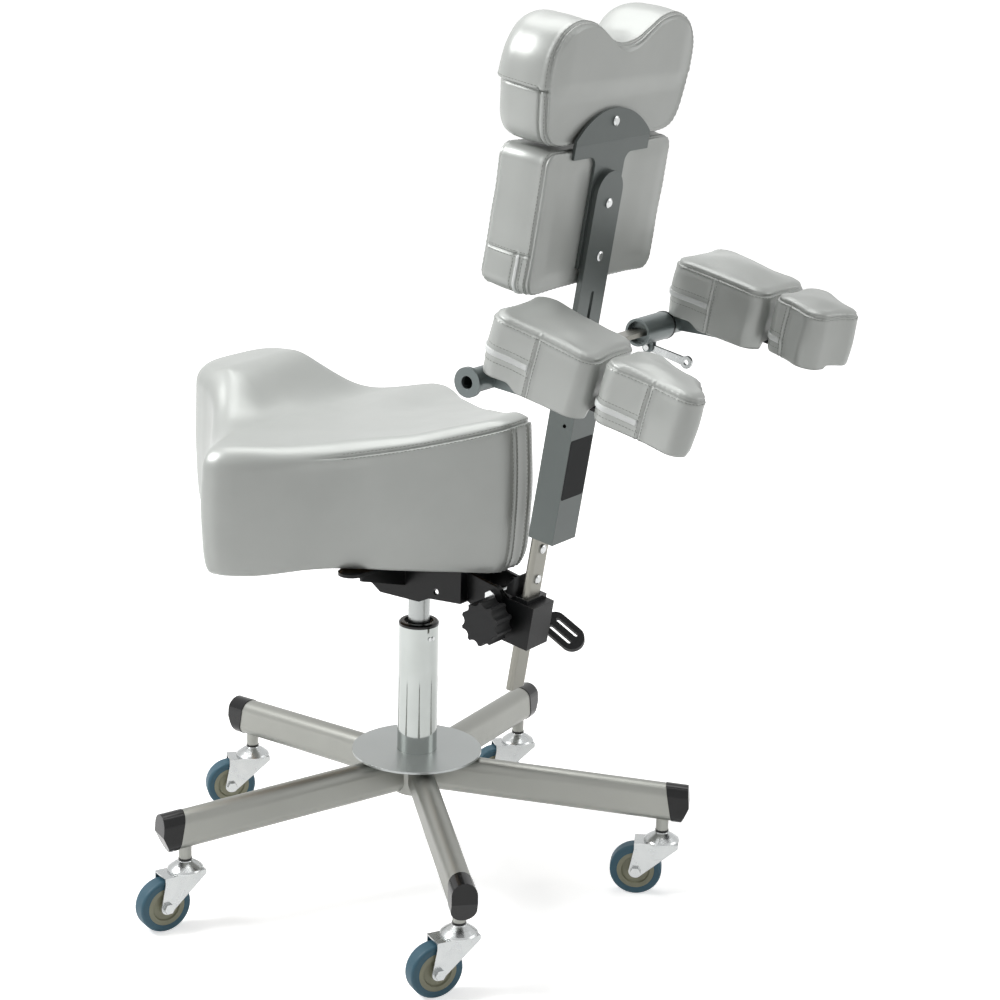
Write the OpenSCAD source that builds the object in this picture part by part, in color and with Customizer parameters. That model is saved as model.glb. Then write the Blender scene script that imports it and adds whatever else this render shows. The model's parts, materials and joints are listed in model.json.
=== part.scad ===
// Swivel stool with a saddle seat, a chest and head support and two swinging arm rests.
// Millimetres, +Z up, floor at z = 0, gas column on the Z axis.
// The user sits facing -Y: the mast stands in front at -Y, the user's right hand is at -X.

/* [Star base] */
// Radius of the circle on which the caster stems stand
stem_circle_r = 325; // [280:1:360]
// Turn of the first leg from the X axis
first_leg_angle = 10.5; // [0:0.5:36]
// Height of the flat-oval leg tube
leg_h = 50; // [40:1:56]
// Width of the flat-oval leg tube
leg_w = 30; // [22:1:36]
// Wall of the leg tube
leg_wall = 1.8; // [1.2:0.1:3]
// Fall of each leg towards its caster
leg_slope = 4; // [3:0.1:5]
// Length of the black end cap along its top
cap_len = 28; // [20:1:40]
// Outer diameter of the hub
hub_d = 60; // [58:1:66]
// Diameter of the cover disc on the hub
disc_d = 169; // [120:1:200]
// Thickness of the cover disc
disc_t = 3; // [2:0.5:5]

/* [Casters] */
// Diameter of the caster wheel
wheel_d = 68; // [62:1:70]
// Width of the tread
wheel_w = 22; // [16:1:25]
// Distance of the axle behind the stem
trail = 32; // [28:1:36]
// Diameter of the swivel stem
stem_d = 11; // [9:0.5:12]
// Diameter of the axle bolt
axle_d = 8; // [6:0.5:9]
// Thickness of the pressed fork plate
fork_t = 2; // [1.5:0.5:3]
// Diameter of the swivel ball race
race_d = 46; // [38:1:50]

/* [Gas column] */
// Outer diameter of the chromed column tube
column_d = 52; // [50:1:60]
// Height of the column tube above the disc
column_h = 172; // [150:1:190]
// Diameter of the gas cylinder
gas_d = 28; // [26:0.5:30]
// Height of the gas cylinder's top end
gas_top_z = 434; // [429:1:439]
// Diameter of the piston rod inside the gas cylinder
rod_d = 10; // [8:0.5:11]

/* [Seat mechanism] */
// Underside of the mechanism housing
mech_z = 399; // [394:1:404]
// Width of the mechanism housing
mech_w = 84; // [76:1:100]
// Reach of the two side arms
side_arm_reach = 146; // [110:1:170]
// Reach of the rear arm
rear_arm_reach = 190; // [140:1:220]
// Thickness of the top plate and the arms' flanges
mech_t = 4; // [3:0.5:6]
// Distance of the mast bracket's pivot in front of the column
pivot_front = 134; // [126:1:140]
// Height of the mast bracket's pivot
pivot_z = 425; // [421:1:428]
// Drop of the lock knob's axis below the pivot
lock_drop = 26; // [24:1:28]

/* [Seat] */
// Full width across the seat's side corners
seat_w = 484; // [420:1:520]
// Distance from the column to the front of the seat
seat_front = 150; // [138:1:152]
// Distance from the column to the back of the seat
seat_back = 336; // [300:1:360]
// Underside of the seat cushion
seat_z = 459; // [456:1:474]
// Height of the low middle of the seat above its underside
seat_low = 149; // [130:1:160]
// Rise of the front pommel above the low middle
pommel_rise = 50; // [20:1:70]
// Rise of the rear cantle above the low middle
cantle_rise = 54; // [40:1:100]
// Thickness of the seat board
board_t = 6; // [4:1:9]

/* [Mast] */
// Lean of the mast towards the front
mast_lean = 9.06; // [6:0.1:11]
// Distance of the mast tube's foot in front of the column
mast_foot_front = 158; // [156:1:162]
// Height of the mast tube's foot
mast_foot_z = 301; // [289:1:314]
// Width of the mast tube
tube_w = 32; // [26:1:34]
// Depth of the mast tube
tube_t = 10; // [8:1:12]
// Width of the mast housing channel
channel_w = 50; // [46:1:54]
// Depth of the mast housing channel
channel_depth = 36; // [33:1:40]
// Sheet thickness of the mast housing
channel_t = 2.6; // [2:0.1:3]
// Width of the upper bar
bar_w = 54; // [50:1:58]
// Thickness of the upper bar
bar_t = 7; // [5:0.5:8]
// Thickness of the head bracket plate
plate_t = 4; // [3:0.5:5]
// Width of the head bracket across its ears
bracket_w = 156; // [130:1:170]

/* [Chest and head pads] */
// Sideways offset of both pads from the mast
pad_offset = 7; // [0:1:14]
// Width of the chest pad
chest_w = 264; // [200:1:270]
// Height of the chest pad
chest_h = 166; // [140:1:176]
// Thickness of the chest pad
chest_t = 77; // [60:1:90]
// Width of the head pad
head_w = 304; // [260:1:320]
// Height of the head pad's lobes
head_h = 142; // [120:1:150]
// Thickness of the head pad
head_t = 82; // [66:1:91]

/* [Arm rests] */
// Distance of the cross bar's axis in front of the column
crossbar_front = 229; // [227:1:231]
// Height of the cross bar's axis
crossbar_z = 746; // [743:1:749]
// Half length of the flat cross bar
crossbar_half = 160; // [156:1:166]
// Width of the flat cross bar
crossbar_w = 20; // [16:1:21]
// Thickness of the flat cross bar
crossbar_t = 6; // [5:0.5:7]
// Outer diameter of the sliding collar
collar_d = 35; // [33:1:38]
// Length of the sliding collar
collar_len = 60; // [56:1:62]
// Outer diameter of the arm tube
arm_d = 28; // [27:1:29]
// Wall of the arm tube
arm_wall = 2; // [1.5:0.5:2]
// Distance from the mast to the end of the arm tube, arm pushed in
arm_end = 203; // [200:1:212]
// How far the right arm is pulled out along the cross bar
right_out = 19; // [0:1:102]
// How far the left arm is pulled out along the cross bar
left_out = 102; // [0:1:102]
// Pitch of the right arm
right_pitch = 15; // [5:1:20]
// Pitch of the left arm
left_pitch = 10; // [5:1:20]
// Inward turn of the right large pad
right_turn = 5; // [-8:1:12]
// Inward turn of the left large pad
left_turn = 2; // [-8:1:12]
// Outward turn of the right small pad
right_toe = 7; // [0:1:8]
// Outward turn of the left small pad
left_toe = -17; // [-22:1:-12]

/* [Arm pads] */
// Length of the large arm pad
large_l = 134; // [116:1:136]
// Width of the large arm pad
large_w = 120; // [96:1:128]
// Thickness of the large arm pad
large_t = 67; // [52:1:76]
// Length of the small arm pad along its outer side
small_l = 120; // [96:1:130]
// Width of the small arm pad
small_w = 88; // [76:1:100]
// Thickness of the small arm pad
small_t = 68; // [52:1:76]

/* [Fits] */
// Radial clearance of pins and shafts in their bores
pin_gap = 0.1; // [0.05:0.01:0.15]
// Running clearance between moving faces
run_gap = 0.3; // [0.3:0.05:0.4]
// Clearance round the cross bar and the mast tube
slide_gap = 0.3; // [0.3:0.05:0.4]

/* [Hidden] */
$fn = 48;

// Overrun of every cut past the face that it opens
cut = 1;
leg_count = 5;
step_angle = 360 / leg_count;

// Star base
stem_rise = 22;
stem_bottom_z = wheel_d + stem_rise;
socket_h = 25;
socket_wall = 2.5;
socket_d = stem_d + 2 * pin_gap + 2 * socket_wall;
socket_drop = 14.5;
leg_bottom_z = stem_bottom_z + socket_drop;
leg_end_z = leg_bottom_z + leg_h / 2;
leg_meet = 1;
// Ring of the hub's top on which the cover disc lies, outside the column tube
disc_seat = 3;
disc_bore_d = column_d + 2 * pin_gap;
// The hub's outside lies just beyond where neighbouring legs meet, and carries the cover disc
hub_outer_d = max(hub_d, disc_bore_d + 2 * disc_seat, leg_w / sin(step_angle / 2) + leg_meet);
leg_root_r = 0.26 * hub_outer_d;
leg_root_z = leg_end_z + (stem_circle_r - leg_root_r) * tan(leg_slope);
leg_end_past = 3;
leg_end_r = stem_circle_r + leg_end_past;
leg_end_slant = 9;
cap_proud = 0.8;
cap_chamfer = 11;
cap_nose = 3;
hub_over = 1;
hub_under = 2;
hub_top_z = leg_root_z + leg_h / 2 + hub_over;
hub_bottom_z = leg_root_z - leg_h / 2 - hub_under;
disc_top_z = hub_top_z + disc_t;
spigot_d = 42;
spigot_wall = 3;
ring_h = 2.4;
ring_wall = 3.2;

// Casters: trail directions as the photographed wheels stand
trail_angles = [140, 141, 160, 152, 120];
wheel_r = wheel_d / 2;
tread_r_share = 0.72;
tread_round = 4;
fork_side_gap = 2;
fork_gap = wheel_w + 2 * fork_side_gap;
fork_w = fork_gap + 2 * fork_t;
fork_over = 6;
fork_top_z = wheel_d + fork_over;
fork_back = 22;
fork_past = 3;
fork_nose = trail + fork_past;
boss_r = 9;
race_top_z = stem_bottom_z - ring_h - run_gap;
nut_d = 14;
nut_h = 5;
hub_side = 1;
hub_w = wheel_w + 2 * hub_side;

// Gas column
column_wall = 2;
column_top_z = disc_top_z + column_h;
bush_len = 95;
bush_lip = 5;
bush_dish = 4;
gas_rise = 10;
gas_bottom_z = disc_top_z + gas_rise;
gas_wall = 4;
gas_floor = 12;
piston_rise = 120;
piston_z = gas_bottom_z + piston_rise;
piston_h = 10;
screw_below = 14;
screw_z = column_top_z - screw_below;
screw_d = 5;
screw_turn = 250;
screw_step = 12;

// Seat mechanism
mech_top_z = seat_z - board_t;
mech_back = 62;
mech_front = 96;
mech_wall = 4;
arm_flange = 34;
arm_tip_h = 10;
side_arm_y = 8;
cheek_t = 5;
cheek_r = 14;
pivot_d = 10;
stud_d = 8;
lock_ahead = 8;
lock_y = pivot_front + lock_ahead;
lock_z = pivot_z - lock_drop;
slot_reach = 4.5;
bolt_head_d = 17;
bolt_head_h = 5;
lock_knob_d = 56;
knob_len = 30;
knob_neck = 6;
knob_nut = 6;
knob_flutes = 10;
paddle_front = 112;
paddle_rise = 16;
paddle_z = mech_z + paddle_rise;
paddle_rod_d = 8;
paddle_out = 76;
paddle_arm = 59;
paddle_drop = 41;
paddle_len = 62;
paddle_w = 32;
paddle_t = 9;
paddle_fall = 27;
paddle_twist = 40;
paddle_slot = 5;
seat_bolt_d = 8;
seat_bolt_in = 32;

// Seat cushion outline, right half from front to back, as shares of half width and length
seat_outline_shares = [
  [0.00, 0.000], [0.10, 0.004], [0.165, 0.034], [0.33, 0.141], [0.56, 0.2915], [0.80, 0.449],
  [0.96, 0.549], [1.00, 0.593], [0.975, 0.628], [0.78, 0.683], [0.60, 0.763], [0.45, 0.827],
  [0.375, 0.875], [0.325, 0.92], [0.255, 0.972], [0.115, 0.998]
];
seat_len = seat_front + seat_back;
seat_centre = [0, 0.56 * seat_len - seat_front];
seat_edge_r = 30;
seat_crown = 5;
seat_puff = 5;
seat_foot = 24;
seat_lip = 3;
seat_bow = 9;
board_inset = 27;
pommel_end_share = 0.602;
cantle_start_share = 0.66;
cantle_run_share = 0.20;
cantle_half = 60;
cantle_fall = 130;
wing_rise = 2;

// Mast, all in a frame that leans with the mast and starts at the tube's foot
clamp_z = 65;
clamp_h = 57;
clamp_w = 45;
clamp_front = 16;
clamp_back = 22;
clamp_wall = 5;
insert_lip = 6;
insert_wall = 3;
cheek_in = clamp_w / 2 + run_gap;
boot_w = 34;
boot_back = 32;
boot_h = 30;
boot_ribs = 5;
boot_rib_r = 2;
mast_tube_len = 416;
tube_wall = 1.6;
tube_screw_1 = 151;
tube_screw_2 = 192;
tube_screw_d = 5;
pan_d = 12;
pan_h = 3;
channel_front = 28;
channel_foot = 212;
channel_top = 426;
channel_hole_y = -16;
channel_hole_z = 364;
channel_hole_d = 5;
block_tenon = 28;
block_top = 496;
block_over = 2;
crossbar_l = (crossbar_z - mast_foot_z) * cos(mast_lean)
  + (crossbar_front - mast_foot_front) * sin(mast_lean);
bar_above = 12;
bar_foot = crossbar_l + crossbar_t / 2 + bar_above;
bar_back = -0.3;
bar_round_z = 645;
bar_slot_z1 = 480;
bar_slot_z2 = 524;
bar_slot_w = 6;
bar_screw_1 = 570;
bar_screw_2 = 634;
bend_z = 708;
ear_h = 18;
neck_w = 62;
neck_foot = 556;
neck_fillet = 12;
flange_rise = 36;
flange_step = 3;
flange_inset = 0.6;
flange_tilt = 6;
head_screw_up = 21;

// Chest and head pads
chest_foot = 534;
pad_back = bar_back + plate_t;
chest_corner = 16;
chest_edge_r = 13;
chest_crown = 6;
chest_puff = 2;
chest_draw = 1.5;
chest_foot_in = 5;
head_foot = 705;
head_back = bar_back + plate_t * cos(flange_tilt) + flange_rise * sin(flange_tilt);
head_outline_shares = [
  [0.00, 0.12], [0.16, 0.10], [0.36, 0.03], [0.58, 0.00], [0.80, 0.02], [0.91, 0.12],
  [0.965, 0.34], [1.00, 0.60], [0.97, 0.78], [0.86, 0.93], [0.68, 1.00], [0.48, 0.98],
  [0.32, 0.90], [0.17, 0.82], [0.00, 0.79]
];
head_edge_r = 30;
head_crown = 3;
head_puff = 2;
head_dip = 14;
head_foot_in = 8;

// Arm rests, in a frame on the cross bar's axis
collar_start = 32;
bush_start = 10;
guide_len = 22;
arm_spigot = 26;
washer_t = 3;
washer_over = 1;
end_ring_t = 5;
end_ring_hole = 15;
saddle_x = 141;
saddle_w = 56;
saddle_t = 4;
saddle_back = -12;
saddle_len = 104;
saddle_drop = 4;
saddle_z = arm_d / 2 - saddle_drop;
saddle_top = saddle_z + saddle_t;
rib_t = 4;
swivel_y = -44;
swivel_d = 10;
swivel_head = 3;
link_t = 4;
link_w = 34;
link_z = saddle_top + run_gap;
link_top = link_z + link_t;
link_back = -38;
large_y = -68;
knob_y = -160;
knob_d = 22;
knob_h = 9;
spacer_h = 5;
small_stud_d = 8;
pad_lift = 0.2;
lever_x = 62;
lever_t = 4;
lug_t = 3;
lug_r = 7;
lever_pin_d = 5;
lever_drop = 5;
lever_len = 56;
lever_fall = 12;
lug_z = collar_d / 2 + lever_drop;
collar_sink = 1;

// Arm pad shapes
pad_corner = 20;
pad_edge_r = 13;
pad_crown = 8;
pad_puff = 1.5;
pad_draw = 2;
pad_foot = 3;
large_front_share = 0.88;
side_lip = 8;
side_lip_start = 25;
side_lip_run = 12;
rear_lip_start = 31;
rear_rise = 7;
small_lip = 4;
small_lip_start = 19;
small_lip_run = 6;
rear_lip_run = 20;

// Corners of the small pads about their knob, outer rear corner first, as shares of width and length
right_small_shares = [[0.61, 0.10], [-0.39, 0.10], [-0.23, -0.63], [0.43, -1.04]];
left_small_shares = [[0.44, 0.17], [-0.60, -0.03], [-0.65, -0.70], [0.24, -0.70]];

// Curves and closed outlines
function lerp(a, b, t) = a + (b - a) * t;
function clamp01(t) = min(1, max(0, t));
function ease(t) = clamp01(t) * clamp01(t) * (3 - 2 * clamp01(t));

// One point of a closed Catmull-Rom curve between points i and i + 1
function spline_at(p, i, t) =
  let (n = len(p), a = p[(i + n - 1) % n], b = p[i % n], c = p[(i + 1) % n], d = p[(i + 2) % n])
  0.5 * (2 * b + (c - a) * t + (2 * a - 5 * b + 4 * c - d) * t * t
    + (3 * b - a - 3 * c + d) * t * t * t);

function spline(p, steps) =
  [for (i = [0 : len(p) - 1]) for (k = [0 : steps - 1]) spline_at(p, i, k / steps)];

// Angle through which a closed outline turns at its point i
function turn_at(p, i) =
  let (n = len(p), u = p[i % n] - p[(i + n - 1) % n], v = p[(i + 1) % n] - p[i % n])
  atan2(u[0] * v[1] - u[1] * v[0], u * v);

// Convex counter-clockwise outline with rounded corners and sides drawn in between them
function rounded(p, r, draw, steps) =
  [for (i = [0 : len(p) - 1]) let (
    n = len(p), b = p[i], c = p[(i + 1) % n],
    u = (b - p[(i + n - 1) % n]) / norm(b - p[(i + n - 1) % n]), v = (c - b) / norm(c - b),
    turn = turn_at(p, i), start = b - u * r * tan(turn / 2),
    m = start + [-u[1], u[0]] * r, a = atan2(-u[0], u[1]),
    s1 = b + v * r * tan(turn / 2), s2 = c - v * r * tan(turn_at(p, i + 1) / 2))
    each concat(
      [for (k = [0 : steps]) m + r * [cos(a + turn * k / steps), sin(a + turn * k / steps)]],
      [for (k = [1 : 3]) lerp(s1, s2, k / 4) + [-v[1], v[0]] * sin(45 * k) * draw])];

// Points of a plan whose right half is given, mirrored to the left
function mirrored(right) =
  let (n = len(right), last = right[n - 1][0] == 0 ? n - 2 : n - 1)
  concat(right, [for (i = [last : -1 : 1]) [-right[i][0], right[i][1]]]);

function seat_outline() =
  spline(mirrored([for (s = seat_outline_shares)
    [s[0] * seat_w / 2, s[1] * seat_len - seat_front]]), 3);

function head_outline() =
  spline(mirrored([for (s = head_outline_shares) [s[0] * head_w / 2, s[1] * head_h]]), 3);

function rectangle(l, w) = [[w / 2, l / 2], [-w / 2, l / 2], [-w / 2, -l / 2], [w / 2, -l / 2]];

// Plan of a large pad, narrower at the front
function large_corners() =
  let (f = large_front_share * large_w / 2)
  [[large_w / 2, large_l / 2], [-large_w / 2, large_l / 2], [-f, -large_l / 2], [f, -large_l / 2]];

function small_corners(side) =
  [for (c = side < 0 ? right_small_shares : left_small_shares) [c[0] * small_w, c[1] * small_l]];

// Height of the seat's edge at a plan point
function seat_edge_z(x, y) =
  let (u = (y + seat_front) / seat_len)
  seat_z + seat_low
    + pommel_rise * pow(clamp01((pommel_end_share - u) / pommel_end_share), 1.8)
    + cantle_rise * ease((u - cantle_start_share) / cantle_run_share)
      * (1 - ease((abs(x) - cantle_half) / cantle_fall))
    + wing_rise * pow(2 * x / seat_w, 2);

// Thickness of the head pad's edge at a plan point
function head_edge_t(x) =
  head_back + head_t - head_crown - head_dip * (1 - ease(2 * abs(x) / (0.62 * head_w)));

// A cushion as one closed skin: flat base, drawn-in foot, puffed side, rounded edge and crown.
// outline: plan points; c: inner point; base: underside; lip(p): how far the edge hangs below it;
// top(x, y): height of the upper face; edge_r: rounding; crown: extra rise in the middle
module cushion(outline, c, base, lip, top, edge_r, crown, puff, foot) {
  n = len(outline);
  rings = [
    for (k = [0 : 9])
      [for (p = outline)
        let (
          d = (p - c) / norm(p - c),
          e = top(p[0], p[1]),
          side = e - edge_r - base,
          a = [0, 0, 0, 0, 0, 35, 65, 90, 0, 0][k],
          inset = [foot, foot * 0.45, 0, -puff, -puff * 0.4,
            edge_r * (1 - cos(a)), edge_r * (1 - cos(a)), edge_r, 0, 0][k],
          s = [0, 0, 0, 0, 0, 0, 0, 0, 0.62, 0.3][k],
          q = k < 8 ? p - d * inset : c + (p - c) * s,
          h = top(q[0], q[1]),
          z = k == 0 ? base
            : k == 1 ? base - lip(p)
            : k == 2 ? base - lip(p) + side * 0.16
            : k == 3 ? base + side * 0.55
            : k == 4 ? e - edge_r
            : k < 8 ? e - edge_r * (1 - sin(a))
            : lerp(h, h + crown, k == 8 ? 0.65 : 0.95)
        )
        [q[0], q[1], z]]
  ];
  bottom = [c[0], c[1], base];
  peak = [c[0], c[1], top(c[0], c[1]) + crown];
  points = concat([for (r = rings) each r], [bottom, peak]);
  last = len(rings) - 1;
  faces = concat(
    [for (k = [0 : last - 1]) for (i = [0 : n - 1]) let (j = (i + 1) % n) each
      [[k * n + i, (k + 1) * n + i, (k + 1) * n + j], [k * n + i, (k + 1) * n + j, k * n + j]]],
    [for (i = [0 : n - 1]) [n * (last + 1), i, (i + 1) % n]],
    [for (i = [0 : n - 1]) [n * (last + 1) + 1, last * n + (i + 1) % n, last * n + i]]
  );
  polyhedron(points, faces, convexity = 4);
}

// Flat-oval section, long along X
module oval(w, t) {
  square([w - t, t], center = true);
  for (s = [-1, 1]) translate([s * (w - t) / 2, 0]) circle(d = t);
}

module leg_turn(i) {
  rotate([0, 0, first_leg_angle + step_angle * i]) children();
}

// Frame along a leg: Z runs outwards and down, X points down
module on_leg(i) {
  leg_turn(i) translate([leg_root_r, 0, leg_root_z]) rotate([0, 90 + leg_slope, 0]) children();
}

module on_stem(i) {
  leg_turn(i) translate([stem_circle_r, 0, 0]) children();
}

// Frame of caster i: X points to the trailing wheel
module on_caster(i) {
  on_stem(i - 1) rotate([0, 0, trail_angles[i - 1] - first_leg_angle - step_angle * (i - 1)])
    children();
}

// Frame of the mast: Z runs up along its front face
module on_mast() {
  translate([0, -mast_foot_front, mast_foot_z]) rotate([mast_lean, 0, 0]) children();
}

module on_crossbar() {
  translate([0, -crossbar_front, crossbar_z]) children();
}

// Frame of an arm that slides along the cross bar; side is -1 on the right, 1 on the left
module on_slide(side) {
  on_crossbar() {
    if (side < 0) mirror([1, 0, 0]) translate([right_out, 0, 0]) children();
    else translate([left_out, 0, 0]) children();
  }
}

module on_arm(side) {
  on_slide(side) rotate([side < 0 ? right_pitch : left_pitch, 0, 0]) children();
}

module on_large_pad(side) {
  turn = side < 0 ? right_turn : left_turn;
  on_arm(side) translate([saddle_x, swivel_y, 0]) rotate([0, 0, -turn])
    translate([0, -swivel_y, 0]) children();
}

module on_small_pad(side) {
  toe = side < 0 ? right_toe : left_toe;
  on_large_pad(side) translate([0, knob_y, 0]) rotate([0, 0, toe]) translate([0, -knob_y, 0])
    children();
}

// A rod along X from x1 to x2
module rod_x(x1, x2, d) {
  translate([x1, 0, 0]) rotate([0, 90, 0]) cylinder(d = d, h = x2 - x1);
}

// A plate across X from x1 to x2 whose outline is drawn in Y and Z
module plate_yz(x1, x2) {
  translate([x1, 0, 0]) rotate([90, 0, 90]) linear_extrude(x2 - x1) children();
}

// A plate across Y from y1 to y2 whose outline is drawn in X and Z
module plate_xz(y1, y2) {
  translate([0, y2, 0]) rotate([90, 0, 0]) linear_extrude(y2 - y1) children();
}

// Radius of a leg's slanted end at height z
function end_r(z) = leg_end_r + leg_end_slant * (leg_bottom_z + leg_h - z) / leg_h;

// Star base

module leg_shell(i) {
  intersection() {
    on_leg(i) linear_extrude(leg_end_r + cap_len - leg_root_r) difference() {
      oval(leg_h, leg_w);
      oval(leg_h - 2 * leg_wall, leg_w - 2 * leg_wall);
    }
    leg_turn(i) plate_xz(-leg_w, leg_w) polygon([
      [0, leg_bottom_z - leg_h], [end_r(leg_bottom_z - leg_h), leg_bottom_z - leg_h],
      [end_r(leg_bottom_z + 2 * leg_h), leg_bottom_z + 2 * leg_h], [0, leg_bottom_z + 2 * leg_h]
    ]);
  }
}

module star_frame() {
  color("#9c9e9c") difference() {
    union() {
      for (i = [0 : leg_count - 1]) {
        leg_shell(i);
        on_stem(i) translate([0, 0, stem_bottom_z]) cylinder(d = socket_d, h = socket_h);
      }
      translate([0, 0, hub_bottom_z]) cylinder(d = hub_outer_d, h = hub_top_z - hub_bottom_z);
    }
    for (i = [0 : leg_count - 1])
      on_stem(i) translate([0, 0, stem_bottom_z - cut])
        cylinder(d = stem_d + 2 * pin_gap, h = socket_h + 2 * cut);
    translate([0, 0, hub_bottom_z - cut])
      cylinder(d = spigot_d, h = hub_top_z - hub_bottom_z + 2 * cut);
  }
}

module hub_disc() {
  color("#a8aaa8") translate([0, 0, hub_top_z]) difference() {
    cylinder(d = disc_d, h = disc_t, $fn = 96);
    translate([0, 0, -cut]) cylinder(d = disc_bore_d, h = disc_t + 2 * cut, $fn = 96);
  }
}

module leg_caps() {
  low = leg_bottom_z - 0.2 * leg_h;
  high = leg_bottom_z + 1.2 * leg_h;
  nose = leg_end_r + cap_len;
  color("#141516") for (i = [0 : leg_count - 1]) intersection() {
    on_leg(i) linear_extrude(nose + cap_len - leg_root_r)
      oval(leg_h + 2 * cap_proud, leg_w + 2 * cap_proud);
    leg_turn(i) plate_xz(-leg_w, leg_w) polygon([
      [end_r(low), low], [nose - cap_chamfer, low], [nose + cap_nose, leg_bottom_z + 0.45 * leg_h],
      [nose, high], [end_r(high), high]
    ]);
  }
}

module stem_rings() {
  color("#1b1c1d") for (i = [0 : leg_count - 1])
    on_stem(i) translate([0, 0, stem_bottom_z - ring_h]) difference() {
      cylinder(d = stem_d + 2 * ring_wall, h = ring_h);
      translate([0, 0, -cut]) cylinder(d = stem_d + 2 * run_gap, h = ring_h + 2 * cut);
    }
}

// Casters

module fork(i) {
  color("#b9bcbb") on_caster(i) {
    difference() {
      union() {
        for (s = [-1, 1]) plate_xz(s * (fork_gap + fork_t) / 2 - fork_t / 2,
          s * (fork_gap + fork_t) / 2 + fork_t / 2) {
          polygon([
            [-fork_back, fork_top_z], [fork_nose, fork_top_z], [fork_nose, fork_top_z - boss_r],
            [trail + boss_r, wheel_r], [trail - 0.7 * boss_r, wheel_r - 0.7 * boss_r],
            [-fork_back, fork_top_z - 0.6 * boss_r]
          ]);
          translate([trail, wheel_r]) circle(r = boss_r);
        }
        translate([-fork_back, -fork_w / 2, fork_top_z - fork_t])
          cube([fork_back + fork_nose, fork_w, fork_t]);
        rotate_extrude() polygon([
          [0, fork_top_z - fork_t], [race_d / 2, fork_top_z], [race_d / 2, fork_top_z + fork_t],
          [0.93 * race_d / 2, fork_top_z + 2 * fork_t], [0.7 * race_d / 2, lerp(fork_top_z, race_top_z, 0.6)],
          [0.85 * stem_d, race_top_z - fork_t / 2], [0.8 * stem_d, race_top_z], [0, race_top_z]
        ]);
        cylinder_between(race_top_z - fork_t, stem_bottom_z + socket_h - fork_t, stem_d);
        translate([trail, 0, wheel_r]) rotate([90, 0, 0]) {
          cylinder(d = axle_d, h = fork_w + nut_h, center = true);
          for (s = [-1, 1]) translate([0, 0, s * (fork_w + nut_h) / 2])
            cylinder(d = nut_d, h = nut_h, center = true, $fn = 6);
        }
      }
    }
  }
}

module cylinder_between(z1, z2, d) {
  translate([0, 0, z1]) cylinder(d = d, h = z2 - z1);
}

// A wheel part turned about the axle from a half section drawn in radius and width
module on_axle(i) {
  on_caster(i) translate([trail, 0, wheel_r]) rotate([90, 0, 0]) rotate_extrude($fn = 72) children();
}

module tyre(i) {
  r = tread_r_share * wheel_r;
  h = wheel_w / 2;
  color("#2f5566") on_axle(i) {
    translate([r, -h]) square([wheel_r - r - tread_round, wheel_w]);
    translate([r, tread_round - h]) square([wheel_r - r, wheel_w - 2 * tread_round]);
    for (s = [-1, 1]) translate([wheel_r - tread_round, s * (h - tread_round)]) circle(r = tread_round);
  }
}

module wheel_hub(i) {
  r = tread_r_share * wheel_r - pin_gap;
  bore = axle_d / 2 + pin_gap;
  h = wheel_w / 2;
  color("#8a8a72") on_axle(i) polygon([
    [bore, -hub_w / 2], [0.34 * r, -hub_w / 2], [0.4 * r, -0.8 * h], [0.7 * r, -0.8 * h],
    [0.76 * r, -h], [r, -h], [r, h], [0.76 * r, h], [0.7 * r, 0.8 * h], [0.4 * r, 0.8 * h],
    [0.34 * r, hub_w / 2], [bore, hub_w / 2]
  ]);
}

// Gas column

module column_tube() {
  spigot = spigot_d / 2 - pin_gap;
  foot = hub_bottom_z + column_wall;
  inner = column_d / 2 - column_wall;
  color("#c8cccc") difference() {
    rotate_extrude($fn = 96) polygon([
      [rod_d / 2, foot], [spigot, foot], [spigot, hub_top_z], [column_d / 2, hub_top_z],
      [column_d / 2, column_top_z], [inner, column_top_z], [inner, hub_top_z + spigot_wall],
      [spigot - spigot_wall, hub_top_z + spigot_wall], [spigot - spigot_wall, foot + spigot_wall],
      [rod_d / 2, foot + spigot_wall]
    ]);
    for (k = [0, 1]) on_column_screw(k) rod_x(inner - cut, column_d, screw_d);
  }
}

module on_column_screw(k) {
  rotate([0, 0, screw_turn + k * screw_step]) translate([0, 0, screw_z]) children();
}

module guide_bush() {
  bore = gas_d / 2 + pin_gap;
  inner = column_d / 2 - column_wall;
  color("#151617") rotate_extrude($fn = 72) polygon([
    [bore, column_top_z - bush_len], [inner, column_top_z - bush_len], [inner, column_top_z],
    [column_d / 2, column_top_z], [column_d / 2, column_top_z + 0.6 * bush_lip],
    [column_d / 2 - 0.4 * bush_lip, column_top_z + bush_lip], [inner - bush_lip, column_top_z + bush_lip],
    [bore + bush_lip, column_top_z + bush_lip - bush_dish], [bore, column_top_z + bush_lip - bush_dish]
  ]);
}

module piston_rod() {
  foot = hub_bottom_z + column_wall;
  color("#b0b3b3") {
    cylinder_between(foot, piston_z, rod_d);
    cylinder_between(foot + spigot_wall, foot + 2 * spigot_wall, 2 * rod_d);
    cylinder_between(piston_z, piston_z + piston_h, gas_d - 2 * gas_wall - 2 * pin_gap);
  }
}

module column_screws() {
  color("#c0c2c2") for (k = [0, 1])
    on_column_screw(k) rod_x(column_d / 2 - column_wall, column_d / 2 + screw_d / 4, screw_d);
}

module gas_cylinder() {
  r = gas_d / 2;
  inner = r - gas_wall;
  bore = rod_d / 2 + pin_gap;
  valve = rod_d / 2;
  color("#9da09f") rotate_extrude($fn = 72) polygon([
    [bore, gas_bottom_z], [r, gas_bottom_z], [r, gas_top_z], [valve, gas_top_z],
    [valve, gas_top_z + valve], [0, gas_top_z + valve], [0, gas_top_z - gas_floor],
    [inner, gas_top_z - gas_floor], [inner, gas_bottom_z + gas_floor],
    [bore, gas_bottom_z + gas_floor]
  ]);
}

// Seat mechanism

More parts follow.
